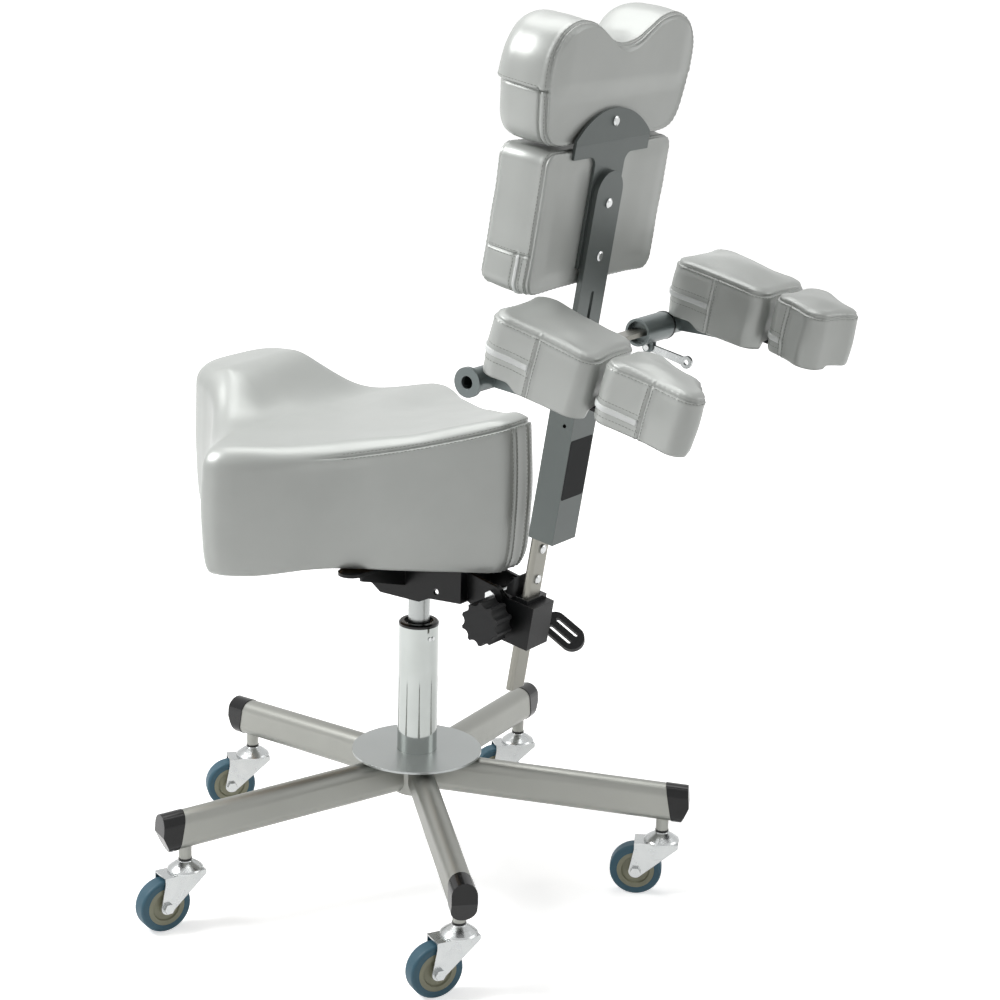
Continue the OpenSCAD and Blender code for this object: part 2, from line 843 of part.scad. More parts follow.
// Side outline of the housing, X towards the back and Y up
module housing_side(inset) {
  polygon([
    [mech_back - inset, mech_top_z - inset], [mech_back - inset, mech_z + 0.4 * (mech_top_z - mech_z)],
    [0.5 * mech_back, mech_z], [-0.5 * mech_back, mech_z],
    [-0.75 * mech_back, mech_z + 0.14 * (mech_top_z - mech_z)],
    [-mech_front + inset, mech_z + 0.2 * (mech_top_z - mech_z)], [-mech_front + inset, mech_top_z - inset]
  ]);
}

// One tapered channel arm from the housing to its tip along X
module seat_arm(reach) {
  root_w = 1.3 * arm_flange;
  root_h = 0.7 * (mech_top_z - mech_z);
  start = mech_w / 2 - mech_wall;
  difference() {
    union() {
      translate([0, 0, mech_top_z - mech_t]) linear_extrude(mech_t) {
        polygon([[start, -root_w / 2], [reach - arm_flange / 2, -arm_flange / 2],
          [reach - arm_flange / 2, arm_flange / 2], [start, root_w / 2]]);
        translate([reach - arm_flange / 2, 0]) circle(d = arm_flange);
      }
      for (s = [-1, 1]) translate([0, s * (arm_flange - mech_t) / 2, 0])
        plate_xz(-mech_t / 2, mech_t / 2) polygon([
          [start, mech_top_z - mech_t / 2], [reach - arm_flange / 2, mech_top_z - mech_t / 2],
          [reach - arm_flange / 2, mech_top_z - arm_tip_h], [start, mech_top_z - root_h]
        ]);
    }
    translate([reach - seat_bolt_in, 0, mech_top_z - mech_t - cut])
      cylinder(d = seat_bolt_d, h = mech_t + 2 * cut);
  }
}

module on_side_arm(s) {
  translate([0, side_arm_y, 0]) rotate([0, 0, s > 0 ? 0 : 180]) children();
}

module on_rear_arm() {
  translate([0, mech_back - mech_w / 2, 0]) rotate([0, 0, 90]) children();
}

module cheek_outline() {
  translate([-pivot_front, pivot_z]) circle(r = cheek_r);
  translate([-lock_y, lock_z]) circle(r = 0.92 * cheek_r);
  polygon([
    [mech_wall - mech_front, mech_top_z - mech_t], [-pivot_front, pivot_z + cheek_r],
    [-pivot_front - 0.8 * cheek_r, pivot_z], [-lock_y - 0.8 * cheek_r, lock_z],
    [-lock_y, lock_z - 0.9 * cheek_r], [mech_wall - mech_front, mech_z + 0.25 * (mech_top_z - mech_z)]
  ]);
}

module seat_mechanism() {
  slot_w = stud_d + 4 * run_gap;
  color("#121314") difference() {
    union() {
      difference() {
        plate_yz(-mech_w / 2, mech_w / 2) housing_side(0);
        plate_yz(mech_wall - mech_w / 2, mech_w / 2 - mech_wall) union() {
          housing_side(mech_wall);
          translate([mech_wall - mech_front, mech_z - cut])
            square([mech_front + mech_back - 2 * mech_wall, 0.5 * (mech_top_z - mech_z)]);
        }
      }
      cylinder_between(mech_z, mech_top_z - mech_t, gas_d + 4 * mech_wall);
      for (s = [-1, 1]) on_side_arm(s) seat_arm(side_arm_reach);
      on_rear_arm() seat_arm(rear_arm_reach - mech_back + mech_w / 2);
      for (s = [-1, 1]) plate_yz(min(s * cheek_in, s * (cheek_in + cheek_t)),
        max(s * cheek_in, s * (cheek_in + cheek_t))) cheek_outline();
    }
    cylinder_between(mech_z - cut, gas_top_z + rod_d, gas_d + 2 * pin_gap);
    translate([0, -pivot_front, pivot_z]) rod_x(-mech_w, mech_w, pivot_d + 2 * pin_gap);
    translate([0, -lock_y, lock_z]) rotate([-atan(lock_ahead / lock_drop), 0, 0])
      plate_yz(-mech_w, mech_w) oval(2 * slot_reach + slot_w, slot_w);
    translate([0, -paddle_front, paddle_z]) rod_x(0, mech_w, paddle_rod_d + 2 * pin_gap);
    translate([0, -0.6 * mech_front, mech_z + 0.35 * (mech_top_z - mech_z)])
      rod_x(-mech_w, mech_w, 2 * mech_wall);
  }
}

module seat_board() {
  outline = seat_outline();
  color("#3a2f26") translate([0, 0, mech_top_z]) linear_extrude(board_t)
    polygon([for (p = outline) let (d = (p - seat_centre) / norm(p - seat_centre))
      p - d * board_inset]);
}

module seat_bolts() {
  color("#8d9090") {
    for (s = [-1, 1]) on_side_arm(s) translate([side_arm_reach - seat_bolt_in, 0, 0]) seat_bolt();
    on_rear_arm() translate([rear_arm_reach - mech_back + mech_w / 2 - seat_bolt_in, 0, 0])
      seat_bolt();
  }
}

module seat_bolt() {
  cylinder_between(mech_top_z - mech_t, mech_top_z, seat_bolt_d);
  cylinder_between(mech_top_z - mech_t - 0.6 * seat_bolt_d, mech_top_z - mech_t, 1.6 * seat_bolt_d);
}

module pivot_bolt() {
  reach = cheek_in + cheek_t;
  color("#c3c6c6") translate([0, -pivot_front, pivot_z]) {
    rod_x(-reach - bolt_head_h, reach + bolt_head_h, pivot_d);
    for (x = [-reach - bolt_head_h, reach]) translate([x, 0, 0]) rotate([0, 90, 0])
      cylinder(d = bolt_head_d, h = bolt_head_h, $fn = 6);
  }
}

module paddle_lever() {
  color("#17181a") {
    translate([0, -paddle_front, paddle_z]) {
      rod_x(cheek_in - cheek_t, paddle_out, paddle_rod_d);
      translate([paddle_out, 0, 0]) sphere(d = 1.15 * paddle_rod_d);
      translate([paddle_out, 0, 0]) rotate([180 - paddle_drop, 0, 0])
        cylinder(d = paddle_rod_d, h = paddle_arm);
    }
    translate([paddle_out, -paddle_front - paddle_arm * sin(paddle_drop), paddle_z
      - paddle_arm * cos(paddle_drop)]) {
      sphere(d = 1.45 * paddle_rod_d);
      rotate([90 + paddle_fall, 0, 0]) rotate([0, 0, paddle_twist])
        translate([0, 0, paddle_len / 2 - paddle_w / 6]) rotate([90, 0, 0]) difference() {
          linear_extrude(paddle_t, center = true) rotate([0, 0, 90]) oval(paddle_len, paddle_w);
          for (s = [-1, 1]) translate([s * paddle_w / 5, 0, 0])
            linear_extrude(2 * paddle_t, center = true) rotate([0, 0, 90])
              oval(0.6 * paddle_len, paddle_slot);
        }
    }
  }
}

// Mast bracket

module mast_clamp() {
  w = tube_w + 2 * slide_gap + 2 * insert_wall;
  t = tube_t + 2 * slide_gap + 2 * insert_wall;
  plate_x = clamp_w / 2;
  color("#1c1e1f") difference() {
    union() {
      on_mast() translate([-clamp_w / 2, -clamp_front, clamp_z])
        cube([clamp_w, clamp_front + clamp_back, clamp_h]);
      for (s = [-1, 1]) plate_yz(min(s * plate_x, s * (plate_x - clamp_wall)),
        max(s * plate_x, s * (plate_x - clamp_wall))) {
        translate([-pivot_front, pivot_z]) circle(r = 0.9 * cheek_r);
        translate([-lock_y, lock_z]) circle(r = 0.8 * cheek_r);
        polygon([
          [-pivot_front, pivot_z + 0.9 * cheek_r], [-pivot_front - 1.9 * cheek_r, pivot_z - 0.4 * cheek_r],
          [-lock_y - 1.6 * cheek_r, lock_z - cheek_r], [-lock_y, lock_z - 0.8 * cheek_r],
          [-lock_y + 0.8 * cheek_r, lock_z], [-pivot_front + 0.9 * cheek_r, pivot_z]
        ]);
      }
    }
    on_mast() translate([-w / 2, tube_t / 2 - t / 2, clamp_z - cut]) cube([w, t, clamp_h + 2 * cut]);
    translate([0, -pivot_front, pivot_z]) rod_x(-clamp_w, clamp_w, pivot_d + 2 * pin_gap);
    translate([0, -lock_y, lock_z]) rod_x(-clamp_w, clamp_w, stud_d + 2 * pin_gap);
  }
}

module clamp_insert() {
  w = tube_w + 2 * slide_gap + 2 * insert_wall;
  t = tube_t + 2 * slide_gap + 2 * insert_wall;
  color("#101112") on_mast() difference() {
    union() {
      translate([-w / 2, tube_t / 2 - t / 2, clamp_z]) cube([w, t, clamp_h]);
      translate([-w / 2 - insert_wall / 2, tube_t / 2 - t / 2 - insert_wall / 2, clamp_z + clamp_h])
        cube([w + insert_wall, t + insert_wall, insert_lip]);
    }
    translate([0, tube_t / 2, clamp_z - cut]) linear_extrude(clamp_h + insert_lip + 2 * cut)
      oval(tube_w + 2 * slide_gap, tube_t + 2 * slide_gap);
  }
}

// Ribbed cover behind the mast tube, on top of the clamp
module mast_boot() {
  front = tube_t + slide_gap + 2 * insert_wall;
  color("#0e0f10") on_mast() {
    plate_yz(-boot_w / 2, boot_w / 2) {
      polygon([[front, clamp_z + clamp_h], [boot_back, clamp_z + clamp_h],
        [boot_back, clamp_z + clamp_h + 0.35 * boot_h], [front, clamp_z + clamp_h + boot_h]]);
      for (k = [1 : boot_ribs]) let (u = k / (boot_ribs + 1))
        translate([lerp(front, boot_back, u), clamp_z + clamp_h + lerp(boot_h, 0.35 * boot_h, u)])
          circle(r = boot_rib_r);
    }
  }
}

module lock_knob() {
  face = cheek_in + cheek_t + run_gap;
  color("#1a1b1c") translate([0, -lock_y, lock_z]) {
    rod_x(-face - knob_neck, face + knob_nut, stud_d);
    rod_x(-face - knob_neck, -face, 0.45 * lock_knob_d);
    translate([-face - knob_neck - knob_len, 0, 0]) rotate([90, 0, 90]) linear_extrude(knob_len)
      difference() {
        circle(d = lock_knob_d);
        for (k = [1 : knob_flutes]) rotate([0, 0, 360 * k / knob_flutes])
          translate([0.56 * lock_knob_d, 0]) circle(r = 0.14 * lock_knob_d);
      }
    translate([face, 0, 0]) rotate([0, 90, 0]) cylinder(d = 2 * stud_d, h = knob_nut, $fn = 6);
  }
}

// Mast

module mast_tube() {
  color("#a5a7a4") on_mast() difference() {
    translate([0, tube_t / 2, 0]) linear_extrude(mast_tube_len) difference() {
      oval(tube_w, tube_t);
      oval(tube_w - 2 * tube_wall, tube_t - 2 * tube_wall);
    }
    for (z = [tube_screw_1, tube_screw_2]) translate([0, -cut, z]) rotate([-90, 0, 0])
      cylinder(d = tube_screw_d, h = tube_t + 2 * cut);
  }
}

// Pan-head screw whose head stands on the face at y = 0 and points to -Y
module pan_screw(len, d) {
  rotate([90, 0, 0]) {
    cylinder(d = pan_d, h = 0.6 * pan_h);
    translate([0, 0, 0.6 * pan_h]) cylinder(d1 = pan_d, d2 = 0.7 * pan_d, h = 0.4 * pan_h);
    translate([0, 0, -len]) cylinder(d = d, h = len);
  }
}

module tube_screws() {
  color("#b4b7b7") on_mast() for (z = [tube_screw_1, tube_screw_2])
    translate([0, 0, z]) pan_screw(tube_t, tube_screw_d);
}

module mast_housing() {
  color("#6b706e") on_mast() difference() {
    translate([-channel_w / 2, -channel_front, channel_foot])
      cube([channel_w, channel_depth, channel_top - channel_foot]);
    translate([channel_t - channel_w / 2, channel_t - channel_front, channel_foot + channel_t])
      cube([channel_w - 2 * channel_t, channel_depth, channel_top - channel_foot]);
    translate([0, tube_t / 2, channel_foot - cut]) linear_extrude(2 * channel_t) oval(tube_w, tube_t);
    translate([0, channel_hole_y, channel_hole_z]) rod_x(-channel_w, 0, channel_hole_d);
  }
}

module crossbar_block() {
  fit_w = channel_w - 2 * channel_t;
  color("#5f6462") difference() {
    on_mast() {
      translate([-bar_w / 2, -channel_front, channel_top])
        cube([bar_w, channel_front + tube_t + block_over, bar_foot - channel_top]);
      translate([-bar_w / 2, bar_back, bar_foot])
        cube([bar_w, tube_t + block_over - bar_back, block_top - bar_foot]);
      translate([-fit_w / 2, channel_t - channel_front, channel_top - block_tenon])
        cube([fit_w, channel_depth - channel_t, block_tenon]);
    }
    on_crossbar() cube([2 * bar_w, crossbar_w, crossbar_t], center = true);
    on_mast() translate([0, tube_t / 2, channel_top - block_tenon - cut])
      linear_extrude(mast_tube_len - channel_top + block_tenon + cut) oval(tube_w, tube_t);
    on_mast() translate([0, 0, bar_slot_z1 + bar_slot_w]) rotate([-90, 0, 0])
      cylinder(d = bar_slot_w - 2 * pin_gap, h = 4 * channel_front, center = true);
  }
}

module crossbar() {
  color("#d2d4cf") on_crossbar()
    cube([2 * crossbar_half, crossbar_w, crossbar_t], center = true);
}

module upper_bar() {
  color("#5a5f5d") on_mast() difference() {
    plate_xz(bar_back - bar_t, bar_back) {
      translate([-bar_w / 2, bar_foot]) square([bar_w, bar_round_z - bar_foot]);
      translate([0, bar_round_z]) circle(d = bar_w, $fn = 72);
    }
    plate_xz(-2 * bar_t, 2 * bar_t) translate([0, (bar_slot_z1 + bar_slot_z2) / 2]) rotate([0, 0, 90])
      oval(bar_slot_z2 - bar_slot_z1 + bar_slot_w, bar_slot_w);
    for (z = [bar_screw_1, bar_screw_2]) translate([0, 0, z]) rotate([90, 0, 0])
      cylinder(d = tube_screw_d, h = 4 * bar_t, center = true);
  }
}

module bar_screws() {
  color("#c0c2c2") {
    on_mast() for (z = [bar_screw_1, bar_screw_2])
      translate([0, bar_back - bar_t, z]) pan_screw(bar_t + plate_t, tube_screw_d);
    on_flange() translate([0, 0, head_screw_up]) pan_screw(plate_t, tube_screw_d);
    on_mast() translate([0, bar_back - bar_t, bar_slot_z1 + bar_slot_w])
      pan_screw(bar_t + tube_t, bar_slot_w - 2 * pin_gap);
  }
}

// Frame of the head pad's flange: origin on the bend line, on the flange's front face
module on_flange() {
  on_mast() translate([0, bar_back, bend_z]) rotate([-flange_tilt, 0, 0]) children();
}

module head_bracket() {
  half = bracket_w / 2;
  lens_h = flange_rise - flange_step;
  flange_r = (half * half + lens_h * lens_h) / (2 * lens_h);
  color("#626765") difference() {
    union() {
      on_mast() plate_xz(bar_back, bar_back + plate_t) {
        translate([-neck_w / 2, neck_foot]) square([neck_w, bend_z - neck_foot]);
        translate([-half, bend_z - ear_h]) square([bracket_w, ear_h]);
        difference() {
          translate([-neck_w / 2 - neck_fillet, bend_z - ear_h - neck_fillet])
            square([neck_w + 2 * neck_fillet, neck_fillet]);
          for (s = [-1, 1]) translate([s * (neck_w / 2 + neck_fillet), bend_z - ear_h - neck_fillet])
            circle(r = neck_fillet);
        }
      }
      on_flange() plate_xz(0, plate_t) intersection() {
        translate([0, flange_rise - flange_r]) circle(r = flange_r, $fn = 96);
        translate([flange_inset - half, -plate_t / 2])
          square([bracket_w - 2 * flange_inset, flange_rise + plate_t]);
      }
    }
    on_mast() for (z = [bar_screw_1, bar_screw_2]) translate([0, 0, z]) rotate([90, 0, 0])
      cylinder(d = tube_screw_d, h = 4 * bar_t, center = true);
    on_flange() translate([0, 0, head_screw_up]) rotate([90, 0, 0])
      cylinder(d = tube_screw_d, h = 4 * bar_t, center = true);
  }
}

// Cushions

module seat_cushion() {
  color("#c3c8c8") cushion(seat_outline(), seat_centre, seat_z,
    function(p) seat_lip + seat_bow * ease((abs(p[0]) - 0.62 * seat_w / 2) / (0.3 * seat_w / 2)),
    function(x, y) seat_edge_z(x, y), seat_edge_r, seat_crown, seat_puff, seat_foot);
}

module chest_cushion() {
  color("#c3c8c8") on_mast() translate([pad_offset, 0, chest_foot + chest_h / 2])
    rotate([90, 0, 180]) cushion(rounded(rectangle(chest_h, chest_w), chest_corner, chest_draw, 5),
      [0, 0], pad_back, function(p) 0, function(x, y) pad_back + chest_t - chest_crown,
      chest_edge_r, chest_crown, chest_puff, chest_foot_in);
}

module head_cushion() {
  color("#c3c8c8") on_mast() translate([pad_offset, 0, head_foot])
    rotate([90, 0, 180]) cushion(head_outline(), [0, 0.46 * head_h], head_back, function(p) 0,
      function(x, y) head_edge_t(x), head_edge_r, head_crown, head_puff, head_foot_in);
}

module large_pad(side) {
  base = link_top + pad_lift;
  color("#c3c8c8") on_large_pad(side) translate([0, large_y, 0])
    cushion(rounded(large_corners(), pad_corner, pad_draw, 4), [0, 0], base,
      function(p) side_lip * ease((abs(p[0]) - side_lip_start) / side_lip_run)
        * ease((rear_lip_start - p[1]) / rear_lip_run),
      function(x, y) base + large_t + rear_rise * (y / large_l + 0.5), pad_edge_r, pad_crown, pad_puff, pad_foot);
}

module small_pad(side) {
  base = link_top + spacer_h;
  color("#c3c8c8") on_small_pad(side) translate([0, knob_y, 0])
    cushion(rounded(small_corners(side), pad_corner, pad_draw, 4), [0, -0.42 * small_l], base,
      function(p) small_lip * ease((abs(p[0]) - small_lip_start) / small_lip_run),
      function(x, y) base + small_t, pad_edge_r, pad_crown, pad_puff, pad_foot);
}

// Arm rests

module collar(side) {
  bore = arm_d + 2 * pin_gap;
  slot_l = crossbar_w + 2 * slide_gap;
  slot_t = crossbar_t + 2 * slide_gap;
  lug_in = lever_t / 2 + run_gap;
  color("#6e7676") on_slide(side) difference() {
    union() {
      difference() {
        union() {
          rod_x(collar_start, collar_start + collar_len, collar_d);
          for (s = [-1, 1]) translate([s * (lug_in + lug_t / 2), 0, 0])
            plate_yz(lever_x - lug_t / 2, lever_x + lug_t / 2) {
              translate([0, -lug_z]) circle(r = lug_r);
              translate([-lug_r, -lug_z]) square([2 * lug_r, lug_z]);
            }
        }
        rod_x(collar_start - cut, collar_start + collar_len + cut, bore);
      }
      rod_x(collar_start + bush_start, collar_start + bush_start + guide_len, bore + collar_sink);
    }
    translate([collar_start - cut, -slot_l / 2, -slot_t / 2]) cube([collar_len, slot_l, slot_t]);
    translate([0, 0, -lug_z]) rod_x(collar_start, collar_start + collar_len,
      lever_pin_d + 2 * pin_gap);
  }
}

module lock_lever(side) {
  half = lever_t / 2 + run_gap + lug_t;
  color("#c5c8c7") on_slide(side) translate([0, 0, -lug_z]) {
    rod_x(lever_x - half - lug_t, lever_x + half + lug_t, lever_pin_d);
    for (x = [lever_x - half - lug_t, lever_x + half]) translate([x, 0, 0])
      rod_x(0, lug_t - run_gap, 1.6 * lever_pin_d);
    rotate([lever_fall, 0, 0]) plate_yz(lever_x - lever_t / 2, lever_x + lever_t / 2) difference() {
      union() {
        circle(r = 0.6 * lug_r);
        polygon([[0, 0.6 * lug_r], [-lever_len, 0.75 * lug_r], [-lever_len, -0.75 * lug_r],
          [0, -0.6 * lug_r]]);
        translate([-lever_len, 0]) circle(r = 1.15 * lug_r);
      }
      translate([-lever_len, 0]) circle(r = 0.5 * lug_r);
    }
  }
}

module washer(side) {
  start = collar_start + collar_len + run_gap;
  color("#17181a") on_arm(side) difference() {
    rod_x(start, start + washer_t, collar_d + washer_over);
    rod_x(start - cut, start + washer_t + cut, arm_d);
  }
}

module arm_tube(side) {
  start = collar_start + collar_len - arm_spigot;
  color("#6e7676") on_arm(side) difference() {
    union() {
      rod_x(start, arm_end, arm_d);
      rod_x(arm_end - end_ring_t, arm_end, collar_d);
      translate([saddle_x - saddle_w / 2, -saddle_len, saddle_z])
        cube([saddle_w, saddle_len + saddle_back, saddle_t]);
      for (x = [saddle_x - saddle_w / 2, saddle_x + saddle_w / 2 - rib_t])
        plate_yz(x, x + rib_t) polygon([
          [saddle_back, -0.45 * arm_d / 2], [saddle_back, saddle_z + saddle_t / 2],
          [-saddle_len, saddle_z + saddle_t / 2], [-saddle_len, saddle_z - saddle_t],
          [-0.5 * saddle_len, saddle_z - 2.5 * saddle_t]
        ]);
    }
    rod_x(start - cut, arm_end - end_ring_t, arm_d - 2 * arm_wall);
    rod_x(start, arm_end + cut, end_ring_hole);
    translate([saddle_x, swivel_y, saddle_z - cut])
      cylinder(d = swivel_d + 2 * pin_gap, h = saddle_t + 2 * cut);
  }
}

module pad_link(side) {
  color("#2a2c2d") {
    on_large_pad(side) difference() {
      union() {
        translate([-link_w / 2, knob_y, link_z]) cube([link_w, link_back - knob_y, link_t]);
        for (y = [knob_y, link_back]) translate([0, y, link_z]) cylinder(d = link_w, h = link_t);
        translate([0, swivel_y, saddle_z - run_gap])
          cylinder(d = swivel_d, h = link_z - saddle_z + run_gap + cut);
        translate([0, swivel_y, saddle_z - run_gap - swivel_head])
          cylinder(d = 1.8 * swivel_d, h = swivel_head);
      }
      translate([0, knob_y, link_z - cut])
        cylinder(d = small_stud_d + 2 * pin_gap, h = link_t + 2 * cut);
    }
  }
}

module pad_knob(side) {
  flutes = 6;
  under = link_z - run_gap;
  color("#151617") on_small_pad(side) translate([0, knob_y, 0]) {
    translate([0, 0, under - knob_h]) linear_extrude(knob_h) difference() {
      circle(d = knob_d);
      for (k = [1 : flutes]) rotate([0, 0, 360 * k / flutes]) translate([0.6 * knob_d, 0])
        circle(r = 0.17 * knob_d);
    }
    cylinder_between(under - knob_h / 2, link_top + spacer_h, small_stud_d);
    cylinder_between(link_top + run_gap, link_top + spacer_h, 2 * small_stud_d);
  }
}

star_frame();
hub_disc();
leg_caps();
stem_rings();
column_tube();
guide_bush();
piston_rod();
column_screws();
for (i = [1 : leg_count]) {
  fork(i);
  tyre(i);
  wheel_hub(i);
}
gas_cylinder();
seat_mechanism();
seat_board();
seat_cushion();
seat_bolts();
mast_boot();
pivot_bolt();
paddle_lever();
mast_clamp();
clamp_insert();
lock_knob();
mast_tube();
tube_screws();
mast_housing();
crossbar_block();
crossbar();
upper_bar();
bar_screws();
head_bracket();
chest_cushion();
head_cushion();
for (side = [-1, 1]) {
  name = side < 0 ? "right" : "left";
  collar(side);
  washer(side);
  arm_tube(side);
  lock_lever(side);
  pad_link(side);
  large_pad(side);
  pad_knob(side);
  small_pad(side);
}
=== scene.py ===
"""Looks of the swivel stool: finishes, upholstery, floor, lamps and camera.

Sizes are in millimetres, which piece() turns to metres; the floor, the lamps and the camera are in
metres."""

import math

import bpy
import numpy as np
from mathutils import Matrix, Vector, noise
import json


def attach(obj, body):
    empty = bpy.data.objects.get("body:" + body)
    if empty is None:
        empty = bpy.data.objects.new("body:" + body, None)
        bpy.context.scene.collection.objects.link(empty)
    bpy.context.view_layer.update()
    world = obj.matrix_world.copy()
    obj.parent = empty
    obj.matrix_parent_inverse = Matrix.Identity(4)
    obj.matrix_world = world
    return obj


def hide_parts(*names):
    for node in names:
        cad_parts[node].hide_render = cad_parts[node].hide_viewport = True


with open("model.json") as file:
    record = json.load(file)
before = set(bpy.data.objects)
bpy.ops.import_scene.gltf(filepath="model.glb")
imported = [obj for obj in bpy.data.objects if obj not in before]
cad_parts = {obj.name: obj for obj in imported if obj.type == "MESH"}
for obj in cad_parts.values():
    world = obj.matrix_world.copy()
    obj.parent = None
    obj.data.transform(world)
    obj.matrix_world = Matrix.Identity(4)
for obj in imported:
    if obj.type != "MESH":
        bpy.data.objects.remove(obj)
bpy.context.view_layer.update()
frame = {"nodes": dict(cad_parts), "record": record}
NODES = frame["nodes"]
MM = 0.001

# Finishes

# Layers of noise in the broad unevenness and in the fine grain, and rays that ease an edge
CLOUD_DETAIL, GRAIN_DETAIL, RIM_SAMPLES = 3.0, 4.0, 4


def srgb(text):
    """A written sRGB colour as the linear colour that the shaders take."""
    parts = [int(text[i:i + 2], 16) / 255 for i in (1, 3, 5)]
    lin = [c / 12.92 if c <= 0.04045 else ((c + 0.055) / 1.055) ** 2.4 for c in parts]
    return (*lin, 1.0)


def add(tree, kind, links=None, **settings):
    """A shader node with its settings: names of inputs or of the node's own properties."""
    n = tree.nodes.new("ShaderNode" + kind)
    for key, value in settings.items():
        name = key.replace("_", " ")
        if name in n.inputs:
            n.inputs[name].default_value = value
        else:
            setattr(n, key, value)
    for key, (source, output) in (links or {}).items():
        tree.links.new(source.outputs[output], n.inputs[key])
    return n


def finish(name, colour, rough, grain=None, metal=0.0, shade=None, coat=0.0, rim=0.0, **extra):
    """A material. grain: (size mm, height mm, stretch) of the fine surface; shade: (other colour,
    size mm, how much rougher) of the broad unevenness; rim: radius in mm of the eased edges."""
    mat = bpy.data.materials.new(name)
    mat.use_nodes = True
    t = mat.node_tree
    t.nodes.clear()
    out = add(t, "OutputMaterial")
    skin = add(t, "BsdfPrincipled", Base_Color=srgb(colour), Roughness=rough, Metallic=metal,
               Coat_Weight=coat, **extra)
    where = add(t, "TexCoord")
    if shade:
        other, size, rougher = shade
        cloud = add(t, "TexNoise", {"Vector": (where, "Object")}, Scale=1 / (size * MM),
                    Detail=CLOUD_DETAIL)
        mix = add(t, "MixRGB", {"Fac": (cloud, "Fac")}, Color1=srgb(colour), Color2=srgb(other))
        t.links.new(mix.outputs["Color"], skin.inputs["Base Color"])
        spread = add(t, "MapRange", {"Value": (cloud, "Fac")}, To_Min=rough,
                     To_Max=min(1.0, rough + rougher))
        t.links.new(spread.outputs["Result"], skin.inputs["Roughness"])
    soft = add(t, "Bevel", Radius=rim * MM, samples=RIM_SAMPLES) if rim else None
    if grain:
        size, height, stretch = grain
        fit = add(t, "Mapping", {"Vector": (where, "Object")}, Scale=stretch)
        pebble = add(t, "TexNoise", {"Vector": (fit, "Vector")}, Scale=1 / (size * MM),
                     Detail=GRAIN_DETAIL)
        bump = add(t, "Bump", {"Height": (pebble, "Fac")}, Distance=height * MM, Strength=1.0)
        if soft:
            t.links.new(soft.outputs["Normal"], bump.inputs["Normal"])
        t.links.new(bump.outputs["Normal"], skin.inputs["Normal"])
    elif soft:
        t.links.new(soft.outputs["Normal"], skin.inputs["Normal"])
    t.links.new(skin.outputs["BSDF"], out.inputs["Surface"])
    return mat


EVEN = (1, 1, 1)
# Upholstery vinyl: a pearl grey with a soft sheen and a fine pebble grain
vinyl = finish("pearl_grey_vinyl", "#B6B9B6", 0.34, (0.9, 0.05, EVEN), metal=0.26,
               shade=("#ADB0AD", 60, 0.08))
# Sewing thread: a darker matte twist that dots a line along each seam
thread = finish("polyester_thread", "#858883", 0.60, (0.25, 0.03, (1, 1, 3)))
# Zip tape and flap: smoother than the vinyl, and brighter than it as painted highlight on the raised
# strip, so the strip stands out
zip_tape = finish("zip_tape", "#E6E9E8", 0.38, (0.5, 0.03, (1, 1, 2)))
# Brushed and turned lines are finer than 0.1 mm on real steel; they are drawn at 0.2 to 0.5 mm so
# that they show
# Satin nickel of the star base: a grey that blurs what it reflects
satin_steel = finish("satin_nickel_steel", "#9C9D98", 0.38, (0.5, 0.006, (1, 1, 6)), metal=0.85,
                     shade=("#949590", 90, 0.06), rim=0.8)
# Cover disc: brushed steel, a little smoother
disc_steel = finish("brushed_disc_steel", "#AEB2B1", 0.30, (0.35, 0.005, (6, 6, 1)), metal=0.9,
                    shade=("#A6AAA9", 70, 0.05), rim=0.5)
# Mast tube: the same steel, darker and warmer in the photograph
# Painted shade: this is the disc's steel coloured darker and warmer, standing in for the shade on the
# tube
tube_steel = finish("brushed_tube_steel", "#8F8E87", 0.32, (0.35, 0.005, (1, 1, 12)), metal=0.9,
                    shade=("#87867F", 70, 0.05), rim=0.5)
# Chromed column, cross bar and the lock levers: near mirror with the faint haze of handling
# Painted reflection: the base colour is kept darker than bare chrome, standing in for the dark bands
# it would mirror from things around it
chrome = finish("polished_chrome", "#B2B6B4", 0.05, (3.0, 0.002, EVEN), metal=1.0,
                shade=("#A4A8A5", 40, 0.05), rim=0.4)
# Screws and bolts: bright plated heads
screw_steel = finish("plated_screw_steel", "#C4C6C6", 0.16, (0.8, 0.004, EVEN), metal=1.0, rim=0.3)
# Caster forks: blued zinc plate, slightly cloudy
zinc = finish("bright_zinc_plate", "#C2C4C3", 0.20, (1.5, 0.006, EVEN), metal=1.0,
              shade=("#B5B8B9", 14, 0.12), rim=0.5)
# Piston rod and gas cylinder: fine turned steel
gas_steel = finish("turned_steel", "#A0A3A2", 0.28, (0.2, 0.004, (1, 1, 14)), metal=1.0, rim=0.3)
# End caps and the liner: glossy moulded plastic that shows bright edges
black_plastic = finish("gloss_black_plastic", "#0E0F10", 0.18, (2.5, 0.004, EVEN),
                       shade=("#121314", 30, 0.06), rim=0.8, Specular_IOR_Level=0.35)
# Knobs, paddle and washers: dull moulded grip plastic
black_grip = finish("matte_black_plastic", "#121314", 0.50, (0.6, 0.02, EVEN), rim=0.6,
                    Specular_IOR_Level=0.3)
# Seat mechanism, clamp and links: black powder coat with its fine orange peel
black_paint = finish("black_powder_coat", "#0D0E0F", 0.36, (0.8, 0.02, EVEN), rim=0.6,
                     Specular_IOR_Level=0.25)
# Mast housing, bars and head bracket: dark metallic grey lacquer
grey_paint = finish("metallic_grey_lacquer", "#5F6563", 0.34, (0.7, 0.01, EVEN), metal=0.45,
                    shade=("#595F5E", 50, 0.05), rim=0.7)
